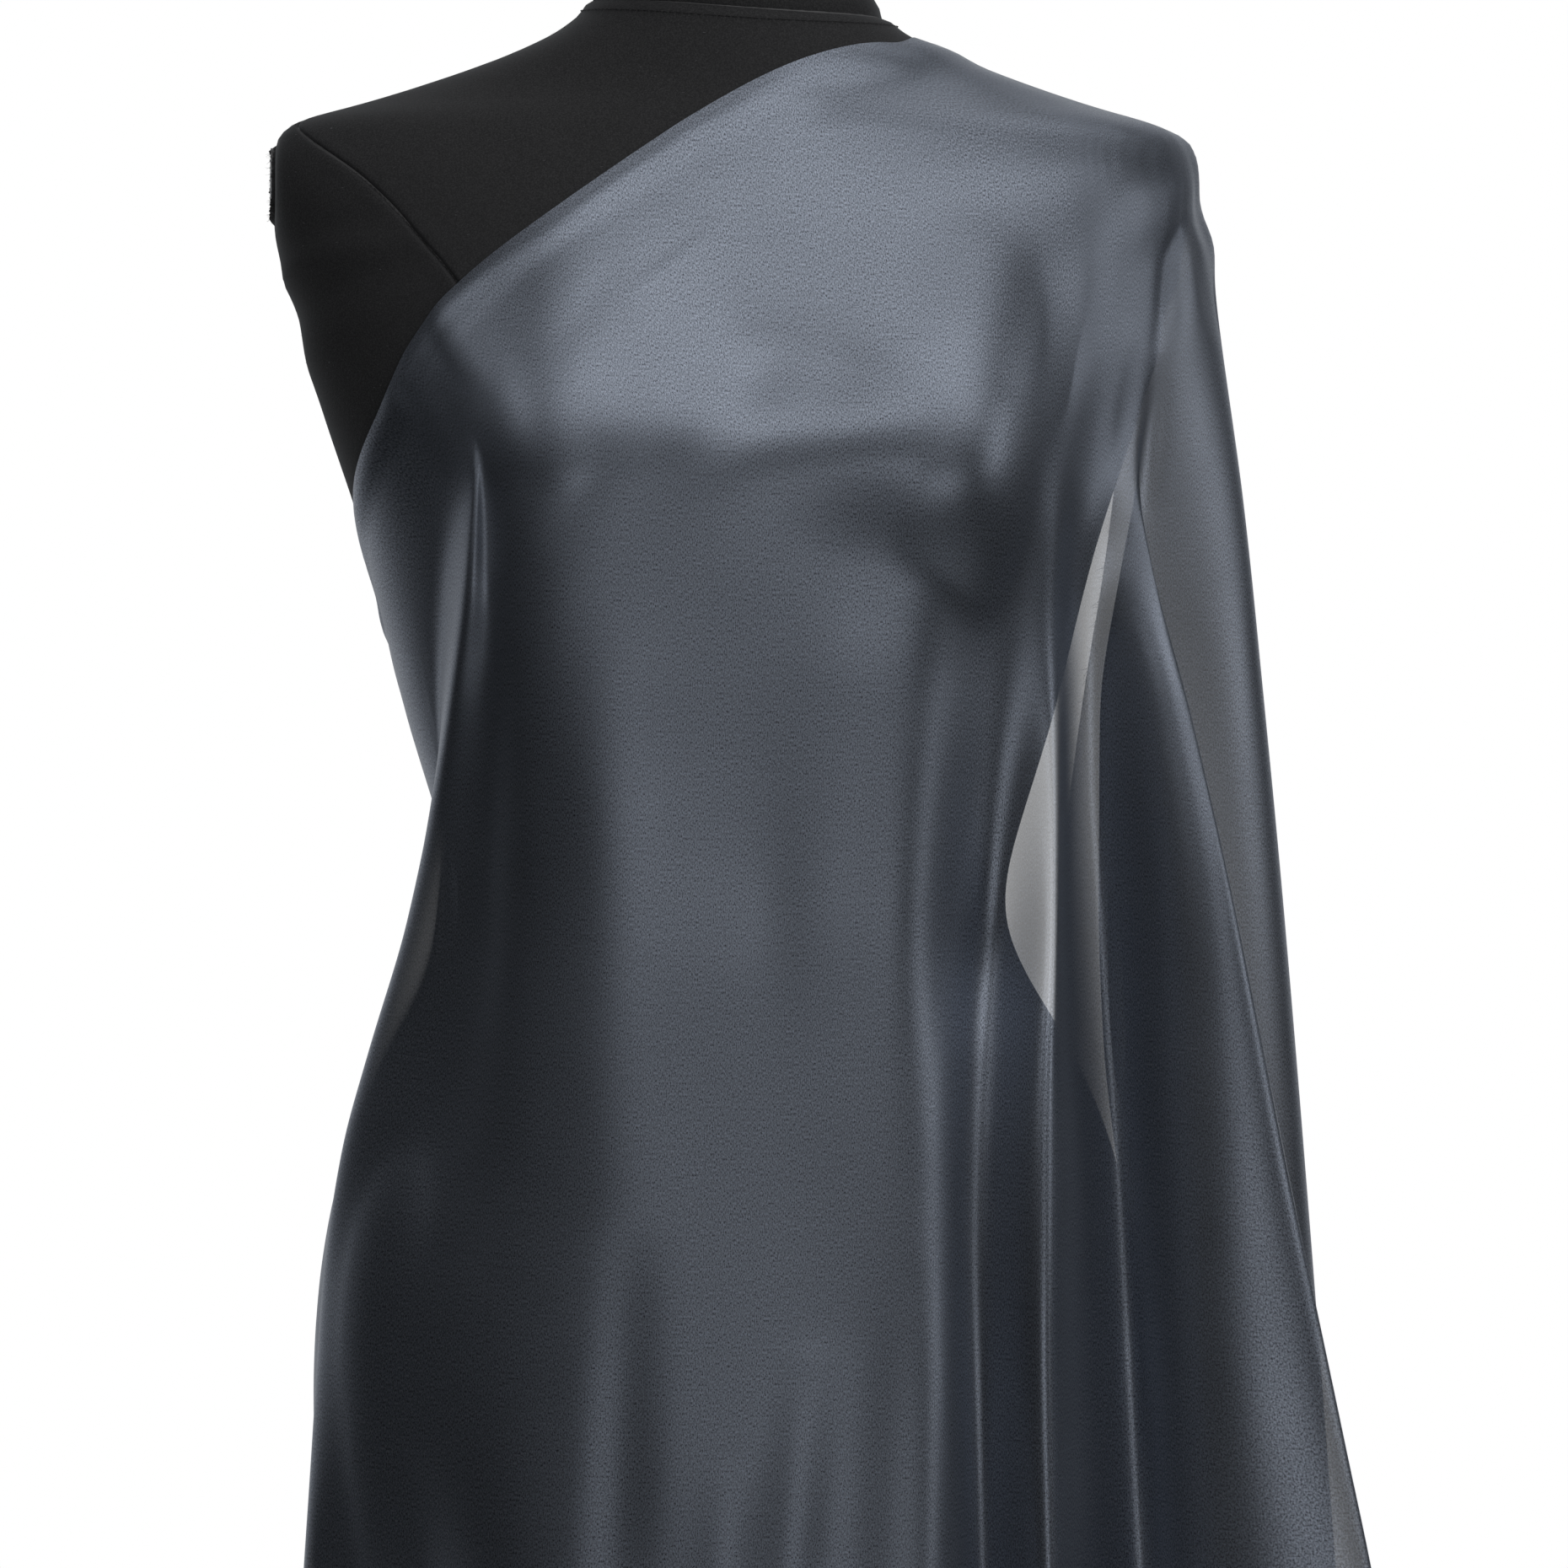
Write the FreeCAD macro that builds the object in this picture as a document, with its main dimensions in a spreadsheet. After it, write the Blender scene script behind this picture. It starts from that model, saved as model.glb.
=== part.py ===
"""A draped dress form on a four-legged wooden stand, as a parametric FreeCAD document.

A hollow shell torso wears a sewn black cover and turns on a steel mast.  The mast slides in a
tube that the stand holds.  A length of satin hangs over the left shoulder.
Millimetres, +Z up, the origin on the floor under the mast.  The form faces -Y, so its own left
shoulder, the draped one, is at +X.
"""

import FreeCAD, Part

import math
import os
import re

import Sketcher
from FreeCAD import Placement, Rotation, Vector

DOC = FreeCAD.newDocument("dress_form")
SHEET = DOC.addObject("Spreadsheet::Sheet", "Sizes")
LEGS = 4
KNOB_LOBES = 5
FLANGE_SCREWS = 4
X_AXIS = Vector(1, 0, 0)
Y_AXIS = Vector(0, 1, 0)
Z_AXIS = Vector(0, 0, 1)
BACKWARD = Rotation(X_AXIS, -90)  # turns +Z to +Y, the way both clamp screws point
FORWARD = Rotation(X_AXIS, 90)
PAST = 400  # further than anything above the stand reaches from the axis

SIZES = {
    # stand
    "leg_centre_height": 277, "leg_centre_reach": 313, "leg_bend_radius": 271, "leg_width": 34,
    "leg_thickness": 24, "leg_head_height": 60, "leg_tenon": 8, "leg_edge_round": 4,
    "pad_radius": 13, "pad_height": 9, "pad_reach": 301, "edge": 2,
    "hub_radius": 46, "hub_height": 92, "hub_neck_radius": 25, "hub_shoulder": 70, "hub_bead": 4,
    "leg_screw_radius": 3, "leg_screw_head": 6.5, "leg_screw_head_height": 4,
    "leg_screw_low": 16, "leg_screw_high": 44, "leg_screw_length": 56,
    "set_screw_radius": 3, "set_screw_drop": 12,
    # telescopic tubes
    "tube_radius": 16, "tube_bore": 14, "tube_low": 60, "tube_high": 510, "end_cap_depth": 12,
    "end_cap_rim": 18, "end_cap_thickness": 3, "mast_radius": 12.5, "mast_bore": 11, "mast_low": 200,
    "mast_high": 800, "mast_foot_radius": 13.95, "mast_foot_height": 26, "mast_plug_depth": 14,
    "running_gap": 0.05, "mouth_gap": 0.4,
    # screw clamps: one on the tube, one on the torso's socket
    "collar_radius": 23, "collar_low": 478, "collar_high": 530, "bush_low": 470,
    "clamp_height": 496, "boss_radius": 11, "boss_reach": 35, "stud_radius": 4, "stud_end": 17,
    "stud_length": 36, "shoe_radius": 3.8, "knob_start": 45, "knob_radius": 18, "knob_thickness": 15,
    "knob_lobe_radius": 7, "knob_lobe_circle": 17, "knob_hub_radius": 9, "knob_hub_length": 6,
    # socket under the torso
    "sleeve_radius": 16, "sleeve_low": 640, "sleeve_high": 812, "sleeve_ring_radius": 22,
    "sleeve_ring_height": 32, "socket_clamp_height": 656, "flange_radius": 46, "flange_thickness": 4,
    "flange_screw_circle": 35, "flange_screw_radius": 2.4, "flange_screw_head": 4.6,
    "flange_screw_head_height": 2.6, "flange_screw_length": 12,
    # torso
    "waist": 1020, "shell_wall": 4, "board_thickness": 12, "board_gap": 0.3, "cover_gap": 0.2,
    "cover_thickness": 1.2, "arm_end": 202, "arm_plate_radius": 14, "arm_plate_thickness": 3,
    "arm_plate_height": 328, "hem_width": 16, "hem_thickness": 1.5, "shoulder_seam": 8,
    "neck_seam_height": 403.5, "neck_seam_fore_slope": 0.09, "neck_seam_side_slope": 0.06,
    "board_screw_radius": 1.75, "board_screw_length": 24, "board_screw_inset": 2,
    # neck
    "neck_plug_thickness": 18, "cap_radius": 51, "cap_height": 15, "cap_rim": 9, "cap_gap": 1.6,
    "finial_neck": 8, "finial_ball": 17, "finial_height": 46, "finial_collar": 14,
    "finial_collar_height": 7, "finial_stem_height": 17, "finial_screw_radius": 4,
    "finial_screw_depth": 26, "finial_screw_rise": 14,
    # drape
    "drape_thickness": 1.5, "drape_top_x": 66, "drape_top_height": 1412, "drape_under_arm_x": -158,
    "drape_under_arm_height": 1150, "drape_pinned_x": -62, "drape_pinned_height": 1112,
    "drape_fall_x": 112,
}

# Stations of the torso, bottom to top: height from the waist, half width, depth in front of the
# axis and behind it, squareness of the section, and how far the bust stands out of it.
TORSO = {
    "bottom": (-335, 171, 110, 112, 2.25, 0), "seat": (-285, 178, 114, 120, 2.3, 0),
    "hip": (-220, 183, 115, 124, 2.3, 0), "belly": (-150, 179, 112, 120, 2.3, 0),
    "high_hip": (-98, 167, 106, 108, 2.25, 0), "flank": (-50, 145, 96, 92, 2.2, 0),
    "waist": (0, 121, 85, 79, 2.15, 0), "rib": (45, 128, 88, 80, 2.15, 0),
    "midriff": (94, 143, 94, 87, 2.15, 4), "under_bust": (139, 154, 99, 94, 2.15, 18),
    "bust": (190, 169, 103, 99, 2.1, 34), "over_bust": (235, 184, 102, 102, 2.1, 24),
    "chest": (280, 196, 93, 102, 2.15, 8), "arm_low": (308, 204, 84, 98, 2.3, 2),
    "arm_high": (332, 206, 75, 92, 2.3, 0), "shoulder_tip": (347, 200, 69, 87, 2.0, 0),
    "shoulder_end": (357, 174, 65, 82, 1.75, 0), "shoulder": (368, 138, 61, 75, 1.7, 0),
    "neck_root": (381, 102, 58, 67, 1.85, 0), "neck_low": (395, 74, 55, 60, 2.0, 0),
    "neck": (412, 60, 53, 56, 2.0, 0), "neck_top": (445, 55, 54, 54, 2.0, 0),
}
TORSO_FIELDS = ("height", "half_width", "front", "back", "squareness", "bust")

# Stations of the drape's outer face: height from the floor, reach to the form's right and left,
# in front and behind, and squareness.  It hugs the right side and hangs free on the left.
DRAPE = {
    "hem": (520, 203, 312, 236, 212, 2.3), "knee": (600, 199, 300, 225, 202, 2.3),
    "thigh": (731, 192, 278, 205, 186, 2.3), "seat": (800, 190, 266, 192, 176, 2.3),
    "belly": (900, 182, 258, 172, 160, 2.25), "waist": (1020, 152, 248, 156, 142, 2.2),
    "rib": (1100, 160, 242, 150, 132, 2.2), "bust": (1210, 180, 232, 146, 120, 2.15),
    "over_bust": (1255, 192, 228, 138, 114, 2.15), "chest": (1300, 204, 222, 114, 112, 2.2),
    "arm": (1352, 216, 216, 90, 104, 2.3), "shoulder_tip": (1374, 208, 211, 79, 96, 2.0),
    "shoulder_end": (1385, 180, 182, 74, 90, 1.8), "shoulder": (1396, 144, 145, 70, 82, 1.75),
    "neck_root": (1409, 108, 109, 66, 75, 1.85), "neck": (1426, 80, 81, 62, 68, 2.0),
}
DRAPE_FIELDS = ("height", "right", "left", "front", "back", "squareness")

# Seams of the cover in the front and back views: height from the waist, distance from the middle.
FRONT_SEAM = ((-345, 98), (-150, 92), (0, 72), (130, 90), (190, 101), (270, 123), (317, 160),
              (334, 179), (349, 199), (470, 230))
BACK_SEAM = ((-345, 104), (-150, 98), (0, 78), (130, 96), (230, 120), (300, 160), (349, 199),
             (470, 230))

BUST_REACH = 93  # from the middle to each bust point
BUST_SPREAD = 50
SECTION_POINTS = 28


def put_sizes():
    """Write every driving dimension to the sheet, one row each, with its name as the alias."""
    rows = dict(SIZES)
    for prefix, table, fields in (("torso", TORSO, TORSO_FIELDS), ("drape", DRAPE, DRAPE_FIELDS)):
        for station, values in table.items():
            for field, value in zip(fields, values):
                rows[f"{prefix}_{station}_{field}"] = value
    for row, (alias, value) in enumerate(rows.items(), start=1):
        SHEET.set(f"A{row}", alias.replace("_", " "))
        SHEET.set(f"B{row}", str(value))
        SHEET.setAlias(f"B{row}", alias)
    DOC.recompute()


def size(alias):
    """A driving dimension, read from the sheet."""
    return float(getattr(SHEET, alias))


def bind(item, **expressions):
    """Bind properties of a document object to expressions on the sheet's aliases."""
    for name, expression in expressions.items():
        item.setExpression(name, expression)
    return item


def cell(expression):
    """An expression written with bare aliases, in the form that setExpression wants."""
    return re.sub(r"[a-z]\w*", lambda word: "Sizes." + word.group(), expression)


def value_of(expression):
    """The number that an expression on aliases stands for now."""
    return float(SHEET.evalExpression(cell(expression)))


# ---------------------------------------------------------------- round and boxed primitives


def cylinder(name, radius, height, at=None, turned=None, **where):
    """A Part cylinder along its own Z.  radius, height and the where axes are expressions."""
    made = DOC.addObject("Part::Cylinder", name)
    bind(made, Radius=cell(radius), Height=cell(height))
    made.Placement = Placement(at or Vector(), turned or Rotation())
    for axis, expression in where.items():
        made.setExpression(f"Placement.Base.{axis}", cell(expression))
    return made


def box(name, length, width, height, **where):
    """A Part box whose sizes and corner are expressions."""
    made = DOC.addObject("Part::Box", name)
    bind(made, Length=cell(length), Width=cell(width), Height=cell(height))
    for axis, expression in where.items():
        made.setExpression(f"Placement.Base.{axis}", cell(expression))
    return made


def cut(name, base, tool):
    """base without tool."""
    made = DOC.addObject("Part::Cut", name)
    made.Base = base
    made.Tool = tool
    return made


def fuse(name, *shapes):
    """One solid out of several."""
    made = DOC.addObject("Part::MultiFuse", name)
    made.Shapes = list(shapes)
    made.Refine = True
    return made


def group(name, *shapes):
    """Identical loose pieces that share one node."""
    made = DOC.addObject("Part::Compound", name)
    made.Links = list(shapes)
    return made


def tube(name, outer, inner, height, **where):
    """A plain round tube or washer."""
    wall = cylinder(name + "_wall", outer, height, **where)
    bore = cylinder(name + "_bore", inner, height, **where)
    return cut(name, wall, bore)


# ---------------------------------------------------------------- turned PartDesign bodies


def lathe(name, profile):
    """A PartDesign body turned about Z from a closed profile of (radius, height) expressions."""
    body = DOC.addObject("PartDesign::Body", name)
    sketch = body.newObject("Sketcher::SketchObject", name + "_profile")
    plane = next(o for o in body.Origin.OriginFeatures if o.Role == "XZ_Plane")
    sketch.AttachmentSupport = [(plane, "")]
    sketch.MapMode = "FlatFace"
    corners = [(value_of(r), value_of(z)) for r, z in profile]
    count = len(corners)
    for i in range(count):
        start, end = corners[i], corners[(i + 1) % count]
        sketch.addGeometry(Part.LineSegment(Vector(*start, 0), Vector(*end, 0)))
    for i in range(count):
        sketch.addConstraint(Sketcher.Constraint("Coincident", i, 2, (i + 1) % count, 1))
    for i, (radius, height) in enumerate(profile):
        for kind, expression, value in zip(("DistanceX", "DistanceY"), (radius, height), corners[i]):
            if value == 0:
                axis = -2 if kind == "DistanceX" else -1
                sketch.addConstraint(Sketcher.Constraint("PointOnObject", i, 1, axis))
                continue
            index = sketch.addConstraint(Sketcher.Constraint(kind, -1, 1, i, 1, value))
            sketch.setExpression(f"Constraints[{index}]", cell(expression))
    turned = body.newObject("PartDesign::Revolution", name + "_turned")
    turned.Profile = sketch
    turned.ReferenceAxis = (sketch, ["V_Axis"])
    turned.Angle = 360
    DOC.recompute()
    return body


# ---------------------------------------------------------------- stand


def stand():
    """Hub, curved legs, pads, screws and the fixed tube."""
    parts = {}
    hub = lathe("hub_turning", [
        ("tube_radius+running_gap", "leg_centre_height"),
        ("hub_radius-hub_bead", "leg_centre_height"),
        ("hub_radius", "leg_centre_height+hub_bead"),
        ("hub_radius", "leg_centre_height+hub_shoulder-hub_bead"),
        ("hub_radius-hub_bead", "leg_centre_height+hub_shoulder"),
        ("hub_neck_radius+hub_bead", "leg_centre_height+hub_shoulder+hub_bead"),
        ("hub_neck_radius", "leg_centre_height+hub_height-hub_bead"),
        ("hub_neck_radius-hub_bead", "leg_centre_height+hub_height"),
        ("tube_radius+running_gap", "leg_centre_height+hub_height"),
    ])
    slots = []
    for number in range(LEGS):
        slot = box(f"slot_{number + 1}", "hub_radius", "leg_thickness", "leg_head_height")
        at_station(slot, number, "leg_centre_reach-leg_bend_radius-leg_tenon", "leg_centre_height",
                   "leg_thickness")
        slots.append(slot)
    parts["hub"] = cut("hub", hub, group("slots", *slots))
    screws = []
    for number in range(LEGS):
        parts[f"leg_{number + 1}"] = leg(number)
        parts[f"foot_pad_{number + 1}"] = foot_pad(number)
        screws += [leg_screw(number, level) for level in ("low", "high")]
    parts["leg_screws"] = group("leg_screws", *screws)
    parts["outer_tube"] = drilled("outer_tube", tube(
        "outer_tube_blank", "tube_radius", "tube_bore", "tube_high-tube_low", z="tube_low"))
    parts["tube_end_cap"] = lathe("tube_end_cap", [
        ("0", "tube_low-end_cap_thickness"), ("end_cap_rim-edge", "tube_low-end_cap_thickness"),
        ("end_cap_rim", "tube_low-end_cap_thickness+edge"), ("end_cap_rim", "tube_low"),
        ("tube_bore", "tube_low"), ("tube_bore", "tube_low+end_cap_depth"),
        ("0", "tube_low+end_cap_depth"),
    ])
    parts["hub_set_screw"] = cylinder(
        "hub_set_screw", "set_screw_radius", "hub_neck_radius-tube_radius", turned=FORWARD,
        y="0-tube_radius", z="leg_centre_height+hub_height-set_screw_drop")
    return parts


def leg_angle(number):
    """Direction of a leg about Z, in degrees."""
    return number * 360 / LEGS


def at_station(item, number, reach, height, width):
    """Place a box that starts at a reach along a leg's direction, centred across its width."""
    angle = leg_angle(number)
    out = Rotation(Z_AXIS, angle)
    corner = out.multVec(Vector(value_of(reach), -value_of(width) / 2, value_of(height)))
    item.Placement = Placement(corner, out)
    cosine, sine = round(math.cos(math.radians(angle)), 9), round(math.sin(math.radians(angle)), 9)
    item.setExpression("Placement.Base.x", f"({cell(reach)}) * {cosine} + {cell(width)} / 2 * {sine}")
    item.setExpression("Placement.Base.y", f"({cell(reach)}) * {sine} - {cell(width)} / 2 * {cosine}")
    item.setExpression("Placement.Base.z", cell(height))
    return item


def leg(number):
    """A leg sawn from a bent plank: a quarter ring with a square head that enters the hub."""
    name = f"leg_{number + 1}"
    turned = Rotation(Z_AXIS, leg_angle(number))
    upright = turned.multiply(Rotation(X_AXIS, 90))
    middle = turned.multVec(Vector(size("leg_centre_reach"), size("leg_thickness") / 2,
                                   size("leg_centre_height")))
    sweep = upright.multiply(Rotation(Z_AXIS, 180))
    ring = DOC.addObject("Part::Cylinder", name + "_outer_bend")
    bind(ring, Radius=cell("leg_bend_radius"), Height=cell("leg_thickness"))
    ring.Angle = 90
    ring.Placement = Placement(middle, sweep)
    core = DOC.addObject("Part::Cylinder", name + "_inner_bend")
    bind(core, Radius=cell("leg_bend_radius-leg_width"), Height=cell("leg_thickness"))
    core.Placement = Placement(middle, sweep)
    head = box(name + "_head", "leg_width+leg_tenon", "leg_thickness", "leg_head_height")
    at_station(head, number, "leg_centre_reach-leg_bend_radius-leg_tenon", "leg_centre_height",
               "leg_thickness")
    toe = DOC.addObject("Part::Cylinder", name + "_toe")
    bind(toe, Radius=cell("leg_width") + " / 2", Height=cell("leg_thickness"))
    toe_height = size("leg_centre_height") - size("leg_bend_radius") + size("leg_width") / 2
    toe.Placement = Placement(turned.multVec(Vector(
        size("leg_centre_reach"), size("leg_thickness") / 2, toe_height)), upright)
    blank = fuse(name + "_blank", cut(name + "_bend", ring, core), head, toe)
    DOC.recompute()
    rounded = DOC.addObject("Part::Fillet", name + "_rounded")
    rounded.Base = blank
    rounded.Edges = [(index, size("leg_edge_round"), size("leg_edge_round"))
                     for index in outer_edges(blank.Shape, number)]
    recess = cylinder(name + "_recess", "pad_radius+running_gap", "pad_height")
    put_pad(recess, number)
    return cut(name, rounded, recess)


def outer_edges(shape, number):
    """Indexes of a leg's long side edges and its head's top edge, the ones that a router rounds."""
    radial = Rotation(Z_AXIS, leg_angle(number)).multVec(X_AXIS)
    found = []
    for index, edge in enumerate(shape.Edges, start=1):
        middle = edge.valueAt((edge.FirstParameter + edge.LastParameter) / 2)
        past_hub = middle.dot(radial) > size("hub_radius") + size("leg_edge_round")
        across = abs(middle.x * radial.y - middle.y * radial.x)
        if past_hub and across > size("leg_thickness") / 2 - 0.1:
            found.append(index)
    return found


def put_pad(item, number):
    """Stand a round foot or its recess under a leg's toe."""
    angle = math.radians(leg_angle(number))
    item.setExpression("Placement.Base.x", f"{cell('pad_reach')} * {round(math.cos(angle), 9)}")
    item.setExpression("Placement.Base.y", f"{cell('pad_reach')} * {round(math.sin(angle), 9)}")


def foot_pad(number):
    """A rubber pad set in the underside of a leg."""
    pad = cylinder(f"foot_pad_{number + 1}", "pad_radius", "pad_height")
    put_pad(pad, number)
    return pad


def leg_screw(number, level):
    """A machine screw through a leg's head into the hub."""
    name = f"leg_{number + 1}_{level}_screw"
    turned = Rotation(Z_AXIS, leg_angle(number)).multiply(Rotation(Y_AXIS, 90))
    face = size("leg_centre_reach") - size("leg_bend_radius") + size("leg_width")
    height = size("leg_centre_height") + size("leg_screw_" + level)
    radial = Rotation(Z_AXIS, leg_angle(number)).multVec(X_AXIS)
    shank = cylinder(name + "_shank", "leg_screw_radius", "leg_screw_length",
                     at=radial * (face - size("leg_screw_length")) + Z_AXIS * height, turned=turned)
    head = cylinder(name + "_head", "leg_screw_head", "leg_screw_head_height",
                    at=radial * face + Z_AXIS * height, turned=turned)
    return fuse(name, shank, head)


def drilled(name, blank, height="clamp_height"):
    """blank with the clamp screw's clearance hole through its back wall."""
    hole = cylinder(name + "_hole", "stud_radius+running_gap", "boss_reach+2", turned=BACKWARD,
                    z=height)
    return cut(name, blank, hole)


# ---------------------------------------------------------------- clamps and mast


def screw_clamp(prefix, height):
    """Star knob, its stud and the brass shoe that the stud presses on the mast."""
    shoe = cylinder(f"{prefix}_shoe", "shoe_radius", "stud_end-mast_radius-running_gap",
                    turned=BACKWARD, y="mast_radius+running_gap", z=height)
    stud = cylinder(f"{prefix}_stud", "stud_radius", "stud_length", turned=BACKWARD,
                    y="stud_end", z=height)
    disc = cylinder(f"{prefix}_knob_disc", "knob_radius", "knob_thickness", turned=BACKWARD,
                    y="knob_start", z=height)
    lobes = []
    for turn in range(KNOB_LOBES):
        angle = math.radians(90 + 360 / KNOB_LOBES * turn)
        lobes.append(cylinder(
            f"{prefix}_lobe_{turn + 1}", "knob_lobe_radius", "knob_thickness", turned=BACKWARD,
            x=f"knob_lobe_circle * {math.cos(angle):.9f}", y="knob_start",
            z=f"{height} + knob_lobe_circle * {math.sin(angle):.9f}"))
    hub = cylinder(f"{prefix}_knob_hub", "knob_hub_radius", "knob_hub_length", turned=BACKWARD,
                   y="knob_start-knob_hub_length", z=height)
    blank = fuse(f"{prefix}_knob_blank", disc, hub, *lobes)
    bore = cylinder(f"{prefix}_knob_bore", "stud_radius", "stud_length", turned=BACKWARD,
                    y="stud_end", z=height)
    knob = cut(f"{prefix}_knob", blank, bore)
    return {f"{prefix}_shoe": shoe, f"{prefix}_stud": stud, f"{prefix}_knob": knob}


def collar():
    """The moulded collar on the tube's mouth, with its nylon bush."""
    ring = lathe("collar_ring", [
        ("tube_radius+running_gap", "collar_low"), ("collar_radius-edge", "collar_low"),
        ("collar_radius", "collar_low+edge"), ("collar_radius", "collar_high-2*edge"),
        ("collar_radius-2*edge", "collar_high"), ("mast_radius+mouth_gap", "collar_high"),
        ("mast_radius+mouth_gap", "tube_high"), ("tube_radius+running_gap", "tube_high"),
    ])
    boss = cylinder("collar_boss", "boss_radius", "boss_reach-tube_radius-edge", turned=BACKWARD,
                    y="tube_radius+edge", z="clamp_height")
    bush = tube("collar_bush_blank", "tube_bore-running_gap", "mast_radius+running_gap",
                "tube_high-bush_low", z="bush_low")
    return {"clamp_collar": drilled("clamp_collar", fuse("collar_blank", ring, boss)),
            "collar_bush": drilled("collar_bush", bush)}


def mast():
    """The sliding tube, its nylon foot and the plug that the torso turns on."""
    wall = tube("mast_tube", "mast_radius", "mast_bore", "mast_high-mast_low", z="mast_low")
    foot = lathe("mast_foot", [
        ("0", "mast_low-2*edge"), ("mast_foot_radius-edge", "mast_low-2*edge"),
        ("mast_foot_radius", "mast_low-edge"), ("mast_foot_radius", "mast_low"),
        ("mast_bore", "mast_low"), ("mast_bore", "mast_low+mast_foot_height"),
        ("0", "mast_low+mast_foot_height"),
    ])
    plug = cylinder("mast_plug", "mast_bore", "mast_plug_depth", z="mast_high-mast_plug_depth")
    return {"mast_tube": wall, "mast_foot": foot, "mast_plug": plug}


def socket():
    """The sleeve that the torso stands on, with its clamp ring, flange, top plug and screws."""
    sleeve = tube("socket_sleeve_blank", "sleeve_radius", "mast_radius+running_gap",
                  "sleeve_high-sleeve_low", z="sleeve_low")
    ring = tube("socket_ring_blank", "sleeve_ring_radius", "sleeve_radius", "sleeve_ring_height",
                z="sleeve_low")
    boss = cylinder("socket_boss", "boss_radius", "boss_reach-sleeve_radius", turned=BACKWARD,
                    y="sleeve_radius", z="socket_clamp_height")
    trimmed = cut("socket_boss_trim", fuse("socket_ring_boss", ring, boss),
                  cylinder("socket_bore", "sleeve_radius", "sleeve_high-sleeve_low", z="sleeve_low"))
    plug = cylinder("socket_plug", "mast_radius+running_gap", "sleeve_high-mast_high", z="mast_high")
    return {
        "socket_sleeve": drilled("socket_sleeve", sleeve, "socket_clamp_height"),
        "socket_ring": drilled("socket_ring", trimmed, "socket_clamp_height"),
        "socket_plug": plug, "socket_flange": flange(), "flange_screws": flange_screws(),
    }


def flange():
    """A round steel plate with four screw holes, under the bottom board."""
    body = DOC.addObject("PartDesign::Body", "socket_flange")
    plane = next(o for o in body.Origin.OriginFeatures if o.Role == "XY_Plane")
    disc = body.newObject("Sketcher::SketchObject", "flange_disc")
    disc.AttachmentSupport = [(plane, "")]
    disc.MapMode = "FlatFace"
    disc.setExpression("AttachmentOffset.Base.z", cell("waist+torso_bottom_height-flange_thickness"))
    for alias in ("flange_radius", "sleeve_radius"):
        index = disc.addGeometry(Part.Circle(Vector(), Z_AXIS, size(alias)))
        disc.addConstraint(Sketcher.Constraint("Coincident", index, 3, -1, 1))
        radius = disc.addConstraint(Sketcher.Constraint("Radius", index, size(alias)))
        disc.setExpression(f"Constraints[{radius}]", cell(alias))
    pad = body.newObject("PartDesign::Pad", "flange_plate")
    pad.Profile = disc
    bind(pad, Length=cell("flange_thickness"))
    DOC.recompute()
    hole = body.newObject("Sketcher::SketchObject", "flange_hole")
    hole.AttachmentSupport = [(plane, "")]
    hole.MapMode = "FlatFace"
    hole.setExpression("AttachmentOffset.Base.z", cell("waist+torso_bottom_height"))
    index = hole.addGeometry(Part.Circle(Vector(size("flange_screw_circle"), 0, 0), Z_AXIS,
                                         size("flange_screw_radius")))
    hole.addConstraint(Sketcher.Constraint("PointOnObject", index, 3, -1))
    for kind, alias in (("DistanceX", "flange_screw_circle"), ("Radius", "flange_screw_radius")):
        place = (-1, 1, index, 3) if kind == "DistanceX" else (index,)
        number = hole.addConstraint(Sketcher.Constraint(kind, *place, size(alias)))
        hole.setExpression(f"Constraints[{number}]", cell(alias))
    pocket = body.newObject("PartDesign::Pocket", "flange_pocket")
    pocket.Profile = hole
    pocket.Type = "ThroughAll"
    DOC.recompute()
    pattern = body.newObject("PartDesign::PolarPattern", "flange_holes")
    pattern.Originals = [pocket]
    pattern.Axis = (next(o for o in body.Origin.OriginFeatures if o.Role == "Z_Axis"), [""])
    pattern.Angle = 360
    pattern.Occurrences = FLANGE_SCREWS
    body.Tip = pattern
    DOC.recompute()
    return body


def flange_screws():
    """Wood screws up through the flange into the bottom board."""
    screws = []
    for turn in range(FLANGE_SCREWS):
        angle = math.radians(360 / FLANGE_SCREWS * turn)
        at = Vector(math.cos(angle), math.sin(angle), 0) * size("flange_screw_circle")
        at.z = size("waist") + size("torso_bottom_height") - size("flange_thickness")
        name = f"flange_screw_{turn + 1}"
        head = cylinder(name + "_head", "flange_screw_head", "flange_screw_head_height",
                        at=at - Z_AXIS * size("flange_screw_head_height"))
        shank = cylinder(name + "_shank", "flange_screw_radius", "flange_screw_length", at=at)
        screws.append(fuse(name, head, shank))
    return group("flange_screws", *screws)


# ---------------------------------------------------------------- torso


def stations(prefix, table, fields):
    """The stations of a lofted shape, read from the sheet."""
    return [{field: size(f"{prefix}_{name}_{field}") for field in fields} for name in table]


def torso_stations():
    """The torso's stations with their heights from the floor and both sides alike."""
    found = stations("torso", TORSO, TORSO_FIELDS)
    for station in found:
        station["height"] += size("waist")
        station["right"] = station["left"] = station["half_width"]
    return found


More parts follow.
